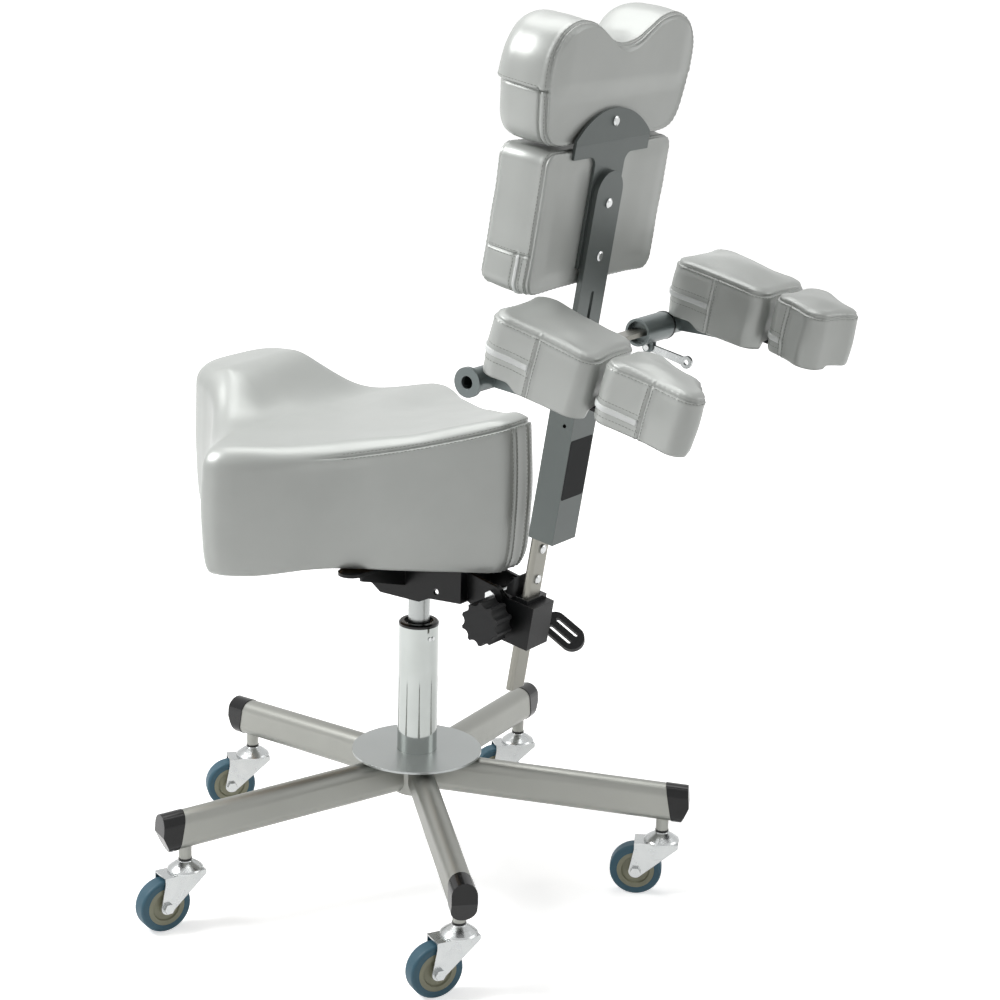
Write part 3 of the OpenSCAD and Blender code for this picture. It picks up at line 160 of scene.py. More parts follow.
# Collars and arm tubes: the same lacquer, a shade lighter in the photograph
# Painted light: the housing's lacquer made lighter, standing in for the light the collars and arm
# tubes catch
lit_arm_paint = finish("arm_grey_lacquer", "#737B7B", 0.33, (0.7, 0.01, EVEN), metal=0.45,
                   shade=("#6D7575", 50, 0.05), rim=0.7)
# Tread: blue-grey polyurethane with a dull, slightly worn skin
tread = finish("blue_grey_polyurethane", "#2F5566", 0.48, (1.2, 0.02, EVEN),
               shade=("#365C6C", 12, 0.10), rim=0.5)
# Wheel core: warm grey moulded nylon
wheel_core = finish("grey_nylon", "#8E8E78", 0.42, (0.8, 0.01, EVEN), rim=0.5)
# Boot between the clamp and the seat: dull black rubber
boot_rubber = finish("black_rubber", "#101112", 0.60, (0.7, 0.03, EVEN), rim=0.3,
                     Specular_IOR_Level=0.35)
# Seat board: raw birch plywood under the seat, grained along the seat
plywood = finish("raw_plywood", "#B99A72", 0.62, (1.6, 0.06, (6, 1, 1)),
                 shade=("#A5855C", 24, 0.05))
# Blank label on the mast housing: dark film with hardly any shine
label_film = finish("dark_label_film", "#0F1112", 0.50, (6.0, 0.003, EVEN),
                    Specular_IOR_Level=0.1)

SLOT_FINISH = {
    "satin_steel": satin_steel, "chromed_tube": chrome, "screw_steel": screw_steel,
    "black_plastic": black_plastic, "zinc_steel": zinc, "tread": tread,
    "wheel_core": wheel_core, "gas_steel": gas_steel, "black_paint": black_paint,
    "black_grip": black_grip, "board": plywood, "grey_vinyl": vinyl, "tube_steel": tube_steel,
    "grey_paint": grey_paint,
}
NODE_FINISH = {
    "hub_disc": disc_steel, "right_collar": lit_arm_paint, "left_collar": lit_arm_paint,
    "right_arm_tube": lit_arm_paint, "left_arm_tube": lit_arm_paint,
}
for part in frame["record"]["subparts"]:
    worn = NODES[part["node"]].data.materials
    worn.clear()
    worn.append(NODE_FINISH.get(part["node"], SLOT_FINISH[part["material_slot"]]))

# Places


def shift(x, y, z):
    """A frame moved by x, y and z."""
    m = np.eye(4)
    m[:3, 3] = (x, y, z)
    return m


def turn(axis, degrees):
    """A frame turned about its own X or Z."""
    c, s = math.cos(math.radians(degrees)), math.sin(math.radians(degrees))
    a, b = {"x": (1, 2), "z": (0, 1)}[axis]
    m = np.eye(4)
    m[a, a] = m[b, b] = c
    m[a, b], m[b, a] = -s, s
    return m


def place(matrix, points):
    """Points in a local frame in mm, as an array in the part's frame in mm."""
    p = np.asarray(points, float)
    return p @ matrix[:3, :3].T + matrix[:3, 3]


# The mast's frame stands at its foot and leans away from the seat
MAST_FOOT, MAST_LEAN = (0, -158, 301), 9.06
MAST = shift(*MAST_FOOT) @ turn("x", MAST_LEAN)
# The chest pad lies on the bar's plate and the head pad on the bracket's tilted flange
BAR_BACK, PLATE_T, FLANGE_TILT, FLANGE_RISE = -0.3, 4, math.radians(6), 36
PAD_BACK = BAR_BACK + PLATE_T
HEAD_BACK = BAR_BACK + PLATE_T * math.cos(FLANGE_TILT) + FLANGE_RISE * math.sin(FLANGE_TILT)
PAD_OFFSET = 7
CHEST_FOOT, CHEST_H, CHEST_W, CHEST_T = 534, 166, 264, 77
HEAD_FOOT, HEAD_H, HEAD_W, HEAD_T = 705, 142, 304, 82
FACING = turn("z", 180) @ turn("x", 90)
CHEST = MAST @ shift(PAD_OFFSET, 0, CHEST_FOOT + CHEST_H / 2) @ FACING
HEAD = MAST @ shift(PAD_OFFSET, 0, HEAD_FOOT) @ FACING
# Of each side: the sign of X, how far out the collar is on the bar, and in degrees the pitch of
# the arm, the turn of the large pad and the toe of the small one
SIDES = {"right": (-1, 19, 15, 5, 7), "left": (1, 102, 10, 2, -17)}
BAR_Y, BAR_Z = -229, 746
# On the arm: the saddle, the large pad's pivot and middle, the small pad's knob and the link's face
SADDLE_X, SWIVEL_Y, LARGE_Y, KNOB_Y, LINK_TOP = 141, -44, -68, -160, 18.3


def pad_frames(side):
    """Frames of the large pad and of the small pad of one side."""
    sign, out, pitch, yaw, toe = SIDES[side]
    arm = shift(0, BAR_Y, BAR_Z) @ np.diag([sign, 1, 1, 1]) @ shift(out, 0, 0) @ turn("x", pitch)
    large = arm @ shift(SADDLE_X, SWIVEL_Y, 0) @ turn("z", -yaw) @ shift(0, -SWIVEL_Y, 0)
    small = large @ shift(0, KNOB_Y, 0) @ turn("z", toe) @ shift(0, -KNOB_Y, 0)
    return large, small


# Meshes

CORNER_STEPS = 14


def piece(name, points, faces, mat, body, smooth=True):
    """A mesh from points in the part's frame in mm; it rides on a body and wears the given finish."""
    mesh = bpy.data.meshes.new(name)
    mesh.from_pydata([tuple(p) for p in np.asarray(points) * MM], [], [tuple(f) for f in faces])
    mesh.validate()
    mesh.update()
    mesh.polygons.foreach_set("use_smooth", [smooth] * len(mesh.polygons))
    mesh.materials.append(mat)
    obj = bpy.data.objects.new(name, mesh)
    bpy.context.scene.collection.objects.link(obj)
    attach(obj, body)
    return obj


def catmull_rom(a, b, c, d, t):
    """The place at share t from b to c on a smooth curve through a, b, c and d."""
    return 0.5 * (2 * b + (c - a) * t + (2 * a - 5 * b + 4 * c - d) * t * t
                  + (3 * b - a - 3 * c + d) * t ** 3)


def spline(points, steps):
    """A closed smooth curve through plan points."""
    p = np.asarray(points, float)
    n = len(p)
    return np.array([catmull_rom(p[i - 1], p[i], p[(i + 1) % n], p[(i + 2) % n], k / steps)
                     for i in range(n) for k in range(steps)])


def mirrored(right):
    """A closed outline from its right half; a point in the middle isn't doubled."""
    last = len(right) - 2 if right[-1][0] == 0 else len(right) - 1
    return right + [(-x, y) for x, y in right[last:0:-1]]


def sides_of(corners):
    """The corners as an array, and the direction of the side that starts at each."""
    p = np.asarray(corners, float)
    n = len(p)
    return p, [(p[(i + 1) % n] - p[i]) / np.linalg.norm(p[(i + 1) % n] - p[i]) for i in range(n)]


def rounded(corners, r, draw):
    """A convex counter-clockwise outline with rounded corners and sides drawn in a little."""
    p, unit = sides_of(corners)
    n = len(p)

    def bend(u, v):
        return math.atan2(u[0] * v[1] - u[1] * v[0], u @ v)

    angle = [bend(unit[i - 1], unit[i]) for i in range(n)]
    out = []
    for i in range(n):
        j = (i + 1) % n
        u, v = unit[i - 1], unit[i]
        start = p[i] - u * r * math.tan(angle[i] / 2)
        middle = start + np.array([-u[1], u[0]]) * r
        a = math.atan2(-u[0], u[1])
        for k in range(CORNER_STEPS + 1):
            b = a + angle[i] * k / CORNER_STEPS
            out.append(middle + r * np.array([math.cos(b), math.sin(b)]))
        s1 = p[i] + v * r * math.tan(angle[i] / 2)
        s2 = p[j] - v * r * math.tan(angle[j] / 2)
        for k in range(1, CORNER_STEPS):
            f = k / CORNER_STEPS
            out.append(s1 + (s2 - s1) * f + np.array([-v[1], v[0]]) * math.sin(math.pi * f) * draw)
    return np.array(out)


def ease(t):
    """A smooth step from 0 to 1."""
    t = np.clip(t, 0, 1)
    return t * t * (3 - 2 * t)


def hump(d, width):
    """A bell of height 1 round a distance of 0."""
    return np.exp(-(d / width) ** 2)


# Cushions

# Columns and rings beside a seam, in mm from it, and the space that is kept clear of others
SEAM_MARKS = np.array([-3.2, -1.7, -0.8, 0, 0.8, 1.7, 3.2])
SEAM_CLEAR = 4.2
# Shares that shape a side: of the foot's inset left at the rim, of the height where the side stands
# full and where it puffs most, and of the puff left at the edge
RIM_SHARE, FULL_SHARE, PUFF_SHARE, LEFT_SHARE = 0.45, 0.16, 0.55, 0.4
# The innermost rings stop at these shares, and a face closes the hole
FOOT_PIN, TOP_PIN = 0.02, 0.015
# Steps of ring place in which a column is measured: the underside, the side and the upper face
UNDER_STEP, SIDE_STEP, TOP_STEP = 0.05, 0.02, 0.01
# Places on the outline that are tried for the one nearest a point
TRIES = 4000
# Gathers: their distance from the seam, their reach, and how much and over what length they drift
GATHER_OFF, GATHER_REACH, GATHER_DRIFT, DRIFT_LENGTH = 3, 3.5, 1.7, 23.0


def plain_dome(q, share):
    """Height share of an evenly crowned top: 0 at its rim and 1 in the middle."""
    return (1 - share ** 2) ** 1.35


class Cushion:
    """A stuffed pad as rings round a plan outline: belly, foot, side, edge and crowned top.

    Ring places run from UNDER in the middle of the underside, through 0 at its rim, LOW below the
    rounded edge and HIGH at its top, to MIDDLE in the middle of the upper face."""

    UNDER, LOW, HIGH, MIDDLE = -1, 4, 7, 8

    def __init__(self, outline, centre, base, lip, top, edge_r, crown, puff, foot,
                 belly=lambda x, y: 0 * x, step=2.6, columns=(), rings=(), dome=plain_dome):
        self.centre = np.array(centre, float)
        self.closed = np.vstack([outline, outline[:1]])
        self.run = np.concatenate(
            [[0], np.cumsum(np.linalg.norm(np.diff(self.closed, axis=0), axis=1))])
        self.length = self.run[-1]
        wanted = [self.find(c) for c in columns]
        at = [a for a in np.linspace(0, self.length, int(self.length / step), endpoint=False)
              if all(abs(self.gap(a - w)) > SEAM_CLEAR for w in wanted)]
        self.s = np.sort(np.array(at + [(w + m) % self.length for w in wanted for m in SEAM_MARKS]))
        plan = self.plan_of(self.s)
        spoke = plan - self.centre
        spoke /= np.linalg.norm(spoke, axis=1)[:, None]
        edge = top(plan[:, 0], plan[:, 1])
        side = edge - edge_r - base
        hang = lip(plan)
        inset = [foot, foot * RIM_SHARE, 0, -puff, -puff * LEFT_SHARE, 0]
        rise = [np.zeros_like(side), -hang, side * FULL_SHARE - hang, side * PUFF_SHARE, side,
                side + edge_r / 2]

        def through(values, w):
            i = min(int(w), self.LOW - 1)
            before = values[i - 1] if i else 2 * values[0] - values[1]
            return catmull_rom(before, values[i], values[i + 1], values[i + 2], w - i)

        def ring(w):
            if w < 0:
                q = self.centre + (plan - spoke * foot - self.centre) * max(1 + w, FOOT_PIN)
                return q, base - belly(q[:, 0], q[:, 1])
            if w <= self.LOW:
                return plan - spoke * through(inset, w), base + through(rise, w)
            if w <= self.HIGH:
                a = math.radians(90 * (w - self.LOW) / (self.HIGH - self.LOW))
                start = -puff * LEFT_SHARE * (1 - (w - self.LOW) / (self.HIGH - self.LOW))
                q = plan - spoke * (start + edge_r * (1 - math.cos(a)))
                near = plan - spoke * edge_r
                lift = top(near[:, 0], near[:, 1]) - edge
                return q, edge - edge_r * (1 - math.sin(a)) + lift * (1 - math.cos(a))
            share = max(self.MIDDLE - w, TOP_PIN)
            q = self.centre + (plan - spoke * edge_r - self.centre) * share
            return q, top(q[:, 0], q[:, 1]) + crown * dome(q, share)

        def build(places):
            return np.array([np.column_stack(ring(w)) for w in places])

        # The column a fifth of the way round sets how far apart the rings lie
        fine = np.concatenate([np.arange(self.UNDER, 0, UNDER_STEP),
                               np.arange(0, self.HIGH, SIDE_STEP),
                               np.arange(self.HIGH, self.MIDDLE + TOP_STEP / 10, TOP_STEP)])
        line = build(fine)[:, len(self.s) // 5]
        far = np.concatenate([[0], np.cumsum(np.linalg.norm(np.diff(line, axis=0), axis=1))])
        keep = [np.interp(r, fine, far) for r in rings]
        goal = [g for g in np.arange(0, far[-1], step) if all(abs(g - k) > SEAM_CLEAR for k in keep)]
        goal = np.sort(np.array(goal + [k + m for k in keep for m in SEAM_MARKS] + [far[-1]]))
        self.w = np.interp(goal, far, fine)
        self.grid = build(self.w)
        self.measure()

    def plan_of(self, s):
        """Plan points at distances along the outline."""
        return np.stack(
            [np.interp(s % self.length, self.run, self.closed[:, i]) for i in (0, 1)], -1)

    def gap(self, d):
        """A distance along the outline, the short way round."""
        half = self.length / 2
        return (d + half) % self.length - half

    def find(self, xy):
        """Distance along the outline to the place nearest a plan point."""
        s = np.linspace(0, self.length, TRIES)
        return float(s[np.argmin(np.linalg.norm(self.plan_of(s) - np.array(xy), axis=1))])

    def measure(self):
        """Outward normals and lengths along each column."""
        g = self.grid
        along = np.roll(g, -1, axis=1) - np.roll(g, 1, axis=1)
        up = np.gradient(g, axis=0)
        n = np.cross(along, up)
        size = np.linalg.norm(n, axis=2, keepdims=True)
        self.normal = n / np.maximum(size, 1e-9)
        steps = np.linalg.norm(np.diff(g, axis=0), axis=2)
        self.far = np.vstack([np.zeros(g.shape[1]), np.cumsum(steps, axis=0)])

    def push_out(self, push):
        """Move each point along its normal by so many mm."""
        self.grid = self.grid + self.normal * push[:, :, None]

    def window(self, start, end, soft):
        """1 between two places along the outline, counter-clockwise, and 0 elsewhere."""
        if start is None:
            return np.ones(len(self.s))
        span = (end - start) % self.length
        d = (self.s - start) % self.length
        d = np.where(d > span + (self.length - span) / 2, d - self.length, d)
        return ease((d + soft) / soft) * ease((span + soft - d) / soft)

    def offset_from(self, place):
        """Signed distance of each point from ring place, along its column."""
        level = np.array([np.interp(place, self.w, self.far[:, j]) for j in range(len(self.s))])
        return self.far - level

    def on_ring(self, place, profile, start=None, end=None, soft=6.0):
        """Push the skin by a profile across a ring, all round or between two places."""
        self.push_out(profile(self.offset_from(place)) * self.window(start, end, soft))

    def on_column(self, at, profile, low=0.3, high=7.0, fade=0.6):
        """Push the skin by a profile across a column, between two ring places."""
        inside = ease((self.w - low) / fade) * ease((high - self.w) / fade)
        self.push_out(profile(self.gap(self.s - at))[None, :] * inside[:, None])

    def ripple(self, height, size, seed):
        """Slack skin: a gentle unevenness that fades where the pad rests on something."""
        p = self.grid.reshape(-1, 3) / size
        v = np.array([noise.noise(Vector((x + seed, y, z))) for x, y, z in p])
        v = v.reshape(self.grid.shape[:2])
        self.push_out(v * height * ease((self.w + 0.2) / 0.8)[:, None])

    def pucker(self, place, start=None, end=None, pitch=7.5, height=0.35, soft=6.0):
        """Small gathers on both sides of a sewn line."""
        d = self.offset_from(place)
        wave = np.sin(2 * math.pi * self.s / pitch + GATHER_DRIFT * np.sin(self.s / DRIFT_LENGTH))
        self.push_out(height * wave[None, :] * hump(np.abs(d) - GATHER_OFF, GATHER_REACH)
                      * self.window(start, end, soft))

    def ring_path(self, place, offset, start, end, pitch):
        """Points and normals along a ring, offset in mm up the column, every pitch mm."""
        span = self.length if start is None else (end - start) % self.length
        first = 0 if start is None else start
        return [self.at(s % self.length, place, offset)
                for s in np.arange(first + pitch / 2, first + span, pitch)]

    def column_path(self, s, low, high, pitch):
        """Points and normals up a column between two ring places, every pitch mm."""
        j = int(np.argmin(np.abs(self.gap(self.s - s))))
        a, b = (np.interp(p, self.w, self.far[:, j]) for p in (low, high))
        return [self.at(s, None, far) for far in np.arange(a, b, pitch)]

    def at(self, s, place, offset):
        """Point and normal at a distance along the outline and at a ring place plus mm, or at
        a distance up the column if place is None."""
        k = np.searchsorted(self.s, s) % len(self.s)
        j = k - 1
        width = self.gap(self.s[k] - self.s[j])
        f = self.gap(s - self.s[j]) / width if width else 0
        both = []
        for c in (j, k):
            far = offset if place is None else np.interp(place, self.w, self.far[:, c]) + offset
            both.append(np.array(
                [np.interp(far, self.far[:, c], self.grid[:, c, i]) for i in range(3)]
                + [np.interp(far, self.far[:, c], self.normal[:, c, i]) for i in range(3)]))
        v = both[0] * (1 - f) + both[1] * f
        return v[:3], v[3:] / np.linalg.norm(v[3:])

    def faces(self):
        """Faces between the rings, and one that closes each end."""
        k, j = self.grid.shape[:2]

        def corner(a, b):
            return a * j + b % j

        out = [(corner(a, b), corner(a, b + 1), corner(a + 1, b + 1), corner(a + 1, b))
               for a in range(k - 1) for b in range(j)]
        out.append(tuple(reversed(range(j))))
        out.append(tuple(range((k - 1) * j, k * j)))
        return out

    def piece(self, name, matrix, node, body, fill):
        """The cover as a piece that replaces its node; fill, how full it is stuffed, is not used."""
        points = place(matrix, self.grid.reshape(-1, 3))
        faces = self.faces()
        if np.linalg.det(matrix[:3, :3]) < 0:
            faces = [tuple(reversed(f)) for f in faces]
        obj = piece(name, points, faces, vinyl, body)
        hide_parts(node)
        return obj


# Threads, zips and seams

THREAD_SIDES = 6
# From end to end of a stitch: places as shares of its length and widths as shares of its thickness
STITCH_SHARES = [(-0.5, 0.45), (-0.3, 1.0), (0.3, 1.0), (0.5, 0.45)]
# Across a zip: places as shares of its half width and heights as shares of how proud it stands
ZIP_SHARES = [(-1.0, -0.6), (-0.96, 0.5), (-0.8, 0.95), (-0.3, 1.0), (0.3, 1.0), (0.8, 0.95),
              (0.96, 0.5), (1.0, -0.6)]
ZIP_PROUD = 1.0


def stitches(name, paths, matrix, body, length=3.0, thick=0.75):
    """Short threads laid along paths of (point, normal), sunk halfway into the skin."""
    ring = [(math.cos(a), math.sin(a))
            for a in np.linspace(0, 2 * math.pi, THREAD_SIDES, endpoint=False)]
    spans = len(STITCH_SHARES) - 1
    points, faces = [], []
    for path in paths:
        for i, (p, n) in enumerate(path):
            q = path[i + 1][0] if i + 1 < len(path) else 2 * p - path[i - 1][0]
            t = q - p
            size = np.linalg.norm(t)
            if size < 1e-6:
                continue
            t = t / size
            b = np.cross(n, t)
            start = len(points)
            for along, wide in STITCH_SHARES:
                for c, s in ring:
                    points.append(p + t * along * length + (b * c + n * s) * wide * thick / 2)
            for k in range(spans):
                a, e = start + THREAD_SIDES * k, start + THREAD_SIDES * (k + 1)
                for m in range(THREAD_SIDES):
                    after = (m + 1) % THREAD_SIDES
                    faces.append((a + m, a + after, e + after, e + m))
            faces.append(tuple(start + m for m in reversed(range(THREAD_SIDES))))
            faces.append(tuple(start + spans * THREAD_SIDES + m for m in range(THREAD_SIDES)))
    return piece(name, place(matrix, points), faces, thread, body)


def zip_strip(name, path, half, matrix, body):
    """A flat strip along a path of (point, normal), standing proud of the skin, with eased edges."""
    points, faces = [], []
    n = len(ZIP_SHARES)
    for i, (p, normal) in enumerate(path):
        q, r = path[max(i - 1, 0)][0], path[min(i + 1, len(path) - 1)][0]
        t = (r - q) / np.linalg.norm(r - q)
        b = np.cross(normal, t)
        for a, h in ZIP_SHARES:
            points.append(p + b * a * half + normal * h * ZIP_PROUD)
    for i in range(len(path) - 1):
        a, e = i * n, (i + 1) * n
        for m in range(n):
            after = (m + 1) % n
            faces.append((a + m, e + m, e + after, a + after))
    faces.append(tuple(range(n)))
    faces.append(tuple(reversed(range((len(path) - 1) * n, len(path) * n))))
    return piece(name, place(matrix, points), faces, zip_tape, body)


def pillow(corners, rim, rise):
    """Height share of a crowned top: 0 at the rim inside each side, rounding up to 1."""
    starts, unit = sides_of(corners)
    inward = [np.array([-v[1], v[0]]) for v in unit]

    def dome(q, share):
        out = np.ones(len(q))
        for start, way in zip(starts, inward):
            d = np.clip((q - start) @ way - rim, 0, None)
            out = out * (1 - np.exp(-(d / rise) ** 1.6))
        return out
    return dome


def welted(depth, width, rise, spread):
    """A sewn line sunk between two slightly swollen edges."""
    return lambda d: -depth * hump(d, width) + rise * hump(np.abs(d) - spread, spread * 0.7)


# Ring place of the seam below the rounded edge of the seat, the chest pad and the arm pads
EDGE_PLACE = 5.0

# Seat

SEAT_W, SEAT_FRONT, SEAT_BACK, SEAT_Z, SEAT_LOW = 484, 150, 336, 459, 149
SEAT_LEN = SEAT_FRONT + SEAT_BACK
SEAT_SHARES = [
    (0.00, 0.000), (0.10, 0.004), (0.165, 0.034), (0.33, 0.141), (0.56, 0.2915), (0.80, 0.449),
    (0.96, 0.549), (1.00, 0.593), (0.975, 0.628), (0.78, 0.683), (0.60, 0.763), (0.45, 0.827),
    (0.375, 0.875), (0.325, 0.92), (0.255, 0.972), (0.115, 0.998),
]
# Rises over the saddle's low: the nose from a share of the length on, the back over a share of the
# length and in the middle of the width, and the wings
NOSE_RISE, NOSE_FROM_SHARE, NOSE_POWER = 50, 0.602, 2.1
BACK_RISE, BACK_FROM_SHARE, BACK_OVER_SHARE, BACK_HALF, BACK_FALL = 54, 0.66, 0.20, 60, 130
WING_RISE = 2
# The foot hangs a little under the wings, from a share of the width on
SEAT_LIP, WING_LIP, WING_FROM_SHARE, WING_OVER_SHARE = 3, 9, 0.31, 0.15
NOSE_SEAMS = [(-14, -SEAT_FRONT), (14, -SEAT_FRONT)]
SEAT_SIDES = [(-160, 0), (160, 0)]
SEAT_SOFT, SEAT_ROW = 50.0, 4.2


def seat_top(x, y):
    """Height of the saddle above the seat's own origin."""
    u = (y + SEAT_FRONT) / SEAT_LEN
    across = 1 - ease((np.abs(x) - BACK_HALF) / BACK_FALL)
    return (SEAT_Z + SEAT_LOW
            + NOSE_RISE * np.clip((NOSE_FROM_SHARE - u) / NOSE_FROM_SHARE, 0, 1) ** NOSE_POWER
            + BACK_RISE * ease((u - BACK_FROM_SHARE) / BACK_OVER_SHARE) * across
            + WING_RISE * (2 * x / SEAT_W) ** 2)


def seat_lip(p):
    """How far the seat's foot hangs below its board."""
    wing = np.abs(p[:, 0]) - WING_FROM_SHARE * SEAT_W
    return SEAT_LIP + WING_LIP * ease(wing / (WING_OVER_SHARE * SEAT_W))


seat = Cushion(
    spline(mirrored([(x * SEAT_W / 2, y * SEAT_LEN - SEAT_FRONT) for x, y in SEAT_SHARES]), 10),
    centre=(0, 0.56 * SEAT_LEN - SEAT_FRONT), base=SEAT_Z, lip=seat_lip, top=seat_top,
    edge_r=30, crown=5, puff=5, foot=24, step=4.0, columns=NOSE_SEAMS, rings=[EDGE_PLACE])
nose = [seat.find(s) for s in NOSE_SEAMS]
# The edge seam is drawn tight from the middle of one side round the nose to the other
tight = [seat.find(s) for s in SEAT_SIDES]
# The side panels pull in between the nose and the wings
for mark in tight:
    seat.on_column(mark, lambda d: -7.0 * hump(d, 75), low=0.4, high=5.4, fade=1.6)
seat.ripple(2.0, 70, 3.1)
seat.on_ring(EDGE_PLACE, welted(2.2, 1.5, 0.9, 4.5), *tight, soft=SEAT_SOFT)
for mark in nose:
    seat.on_column(mark, welted(2.4, 1.4, 1.0, 4.5), low=0.2, high=5.2)
seat.pucker(EDGE_PLACE, *tight, height=0.5, pitch=9, soft=SEAT_SOFT)
seat.measure()
seat.piece("seat_upholstery", np.eye(4), "seat_cushion", "seat", 0.9)
stitches("seat_topstitch", [seat.ring_path(EDGE_PLACE, SEAT_ROW, *tight, 5.0),
                            seat.ring_path(EDGE_PLACE, -SEAT_ROW, *tight, 5.0)]
         + [seat.column_path(m + o, 0.4, 4.8, 5.0) for m in nose for o in (-SEAT_ROW, SEAT_ROW)],
         np.eye(4), "seat", length=3.4, thick=0.8)

# Chest pad

CHEST_SEAM, CHEST_CROWN = 46 - CHEST_H / 2, 6
CHEST_ENDS = [(s * CHEST_W / 2, CHEST_SEAM) for s in (1, -1)]
CHEST_FOOT_PLACE, CHEST_ZIP_PLACE, CHEST_ZIP_HALF = 1.6, 2.5, 2.3
CHEST_ROW, MAST_PAD_PITCH = 3.2, 4.4


def box_plan(l, w):
    """Corners of a plan that is l long and w wide."""
    return [(w / 2, l / 2), (-w / 2, l / 2), (-w / 2, -l / 2), (w / 2, -l / 2)]


def chest_belly(x, y):
    """The back bulges beside the bar and fades toward the rim."""
    return (3.0 * ease((np.abs(x) - 40) / 40) * ease((CHEST_W / 2 - np.abs(x)) / 30)
            * ease((CHEST_H / 2 - np.abs(y)) / 26))


chest = Cushion(
    rounded(box_plan(CHEST_H, CHEST_W), 16, 1.5), centre=(0, 0), base=PAD_BACK,
    lip=lambda p: 0 * p[:, 0], top=lambda x, y: PAD_BACK + CHEST_T - CHEST_CROWN + 0 * x,
    edge_r=13, crown=CHEST_CROWN, puff=2, foot=5, belly=chest_belly, columns=CHEST_ENDS,
    rings=[CHEST_FOOT_PLACE, CHEST_ZIP_PLACE, EDGE_PLACE],
    dome=pillow(box_plan(CHEST_H, CHEST_W), 12, 34))
ends = [chest.find(e) for e in CHEST_ENDS]
# The zip runs round the lower end of the pad from one end seam to the other
lower = ends[1], ends[0]
chest.ripple(1.1, 42, 8.4)
chest.on_ring(CHEST_FOOT_PLACE, welted(1.5, 1.1, 0.6, 3.4))
chest.on_ring(EDGE_PLACE, welted(1.3, 1.1, 0.6, 3.4))
for mark in ends:
    chest.on_column(mark, welted(1.5, 1.0, 0.8, 3.4), low=1.2, high=5.4)
chest.on_ring(CHEST_ZIP_PLACE, lambda d: -2.2 * hump(d - 2.6, 1.1) + 0.9 * hump(d + 1.2, 2.6), *lower)
chest.pucker(CHEST_FOOT_PLACE)
chest.pucker(EDGE_PLACE, height=0.3)
chest.measure()
chest.piece("chest_upholstery", CHEST, "chest_cushion", "mast", 0.85)
zip_strip("chest_zip", chest.ring_path(CHEST_ZIP_PLACE, -1.2, *lower, 2.5), CHEST_ZIP_HALF,
          CHEST, "mast")
stitches("chest_topstitch",
         [chest.ring_path(CHEST_FOOT_PLACE, CHEST_ROW, None, None, MAST_PAD_PITCH),
          chest.ring_path(CHEST_ZIP_PLACE, -6.5, *lower, MAST_PAD_PITCH),
          chest.ring_path(CHEST_ZIP_PLACE, 7.0, *lower, MAST_PAD_PITCH)]
         + [chest.column_path(m + o, 1.9, 5.0, MAST_PAD_PITCH)
            for m in ends for o in (-CHEST_ROW, CHEST_ROW)],
         CHEST, "mast")

# Head pad

HEAD_SHARES = [
    (0.00, 0.12), (0.16, 0.10), (0.36, 0.03), (0.58, 0.00), (0.80, 0.02), (0.91, 0.12),
    (0.965, 0.34), (1.00, 0.60), (0.97, 0.78), (0.86, 0.93), (0.68, 1.00), (0.48, 0.98),
    (0.32, 0.90), (0.17, 0.82), (0.00, 0.79),
]
HEAD_FOLD = [(s * 0.985 * HEAD_W / 2, 0.47 * HEAD_H) for s in (1, -1)]
HEAD_TOES = [(s * 0.80 * HEAD_W / 2, 0.02 * HEAD_H) for s in (1, -1)]
HEAD_CROWN, HEAD_DIP, HEAD_DIP_SHARE = 3, 14, 0.62
HEAD_FOOT_PLACE, HEAD_TUCK_PLACE = 1.3, 2.2
FOLD_RISE, FOLD_DRAW = 3.6, 1.2


def head_top(x, y):
    """The upper face with its dip between the two lobes."""
    lobe = ease(2 * np.abs(x) / (HEAD_DIP_SHARE * HEAD_W))
    return HEAD_BACK + HEAD_T - HEAD_CROWN - HEAD_DIP * (1 - lobe)


def fold(sign):
    """The upper half overhangs a tucked line and the lower half is drawn in below it."""
    def profile(d):
        e = d * sign
        over = FOLD_RISE * np.exp(-e / 16) * ease(e / 2.2)
        below = -FOLD_DRAW * ease(-e / 4) * np.exp(e / 60)
        return np.where(e > 0, over, below) - FOLD_RISE * hump(e + 0.8, 1.9)
    return profile


def tuck(d):
    """The lower lobe pinched along its side."""
    return -3.0 * hump(d, 1.2) + 1.0 * hump(d + 4.5, 3.0)


head = Cushion(
    spline(mirrored([(x * HEAD_W / 2, y * HEAD_H) for x, y in HEAD_SHARES]), 10),
    centre=(0, 0.46 * HEAD_H), base=HEAD_BACK, lip=lambda p: 0 * p[:, 0], top=head_top,
    edge_r=30, crown=HEAD_CROWN, puff=2, foot=8,
    belly=lambda x, y: 5.0 * ease((y - 46) / 30) * ease((HEAD_W / 2 - np.abs(x)) / 40),
    columns=HEAD_FOLD, rings=[HEAD_FOOT_PLACE, HEAD_TUCK_PLACE])
folds = [head.find(e) for e in HEAD_FOLD]
toes = [head.find(e) for e in HEAD_TOES]
head.ripple(1.3, 48, 5.2)
for mark, sign in zip(folds, (1, -1)):
    head.on_column(mark, fold(sign), low=0.6, high=6.6, fade=1.0)
head.on_ring(HEAD_FOOT_PLACE, welted(1.6, 1.2, 0.8, 3.6))
head.measure()
head.on_ring(HEAD_TUCK_PLACE, tuck, toes[0], folds[0])
head.on_ring(HEAD_TUCK_PLACE, tuck, folds[1], toes[1])
head.pucker(HEAD_FOOT_PLACE, height=0.45)
head.measure()
head.piece("head_upholstery", HEAD, "head_cushion", "mast", 0.8)
stitches("head_topstitch", [head.ring_path(HEAD_FOOT_PLACE, 3.4, None, None, MAST_PAD_PITCH)]
         + [head.column_path(m + sign * 5.0, 2.4, 6.2, MAST_PAD_PITCH)
            for m, sign in zip(folds, (1, -1))],
         HEAD, "mast")

# Arm pads

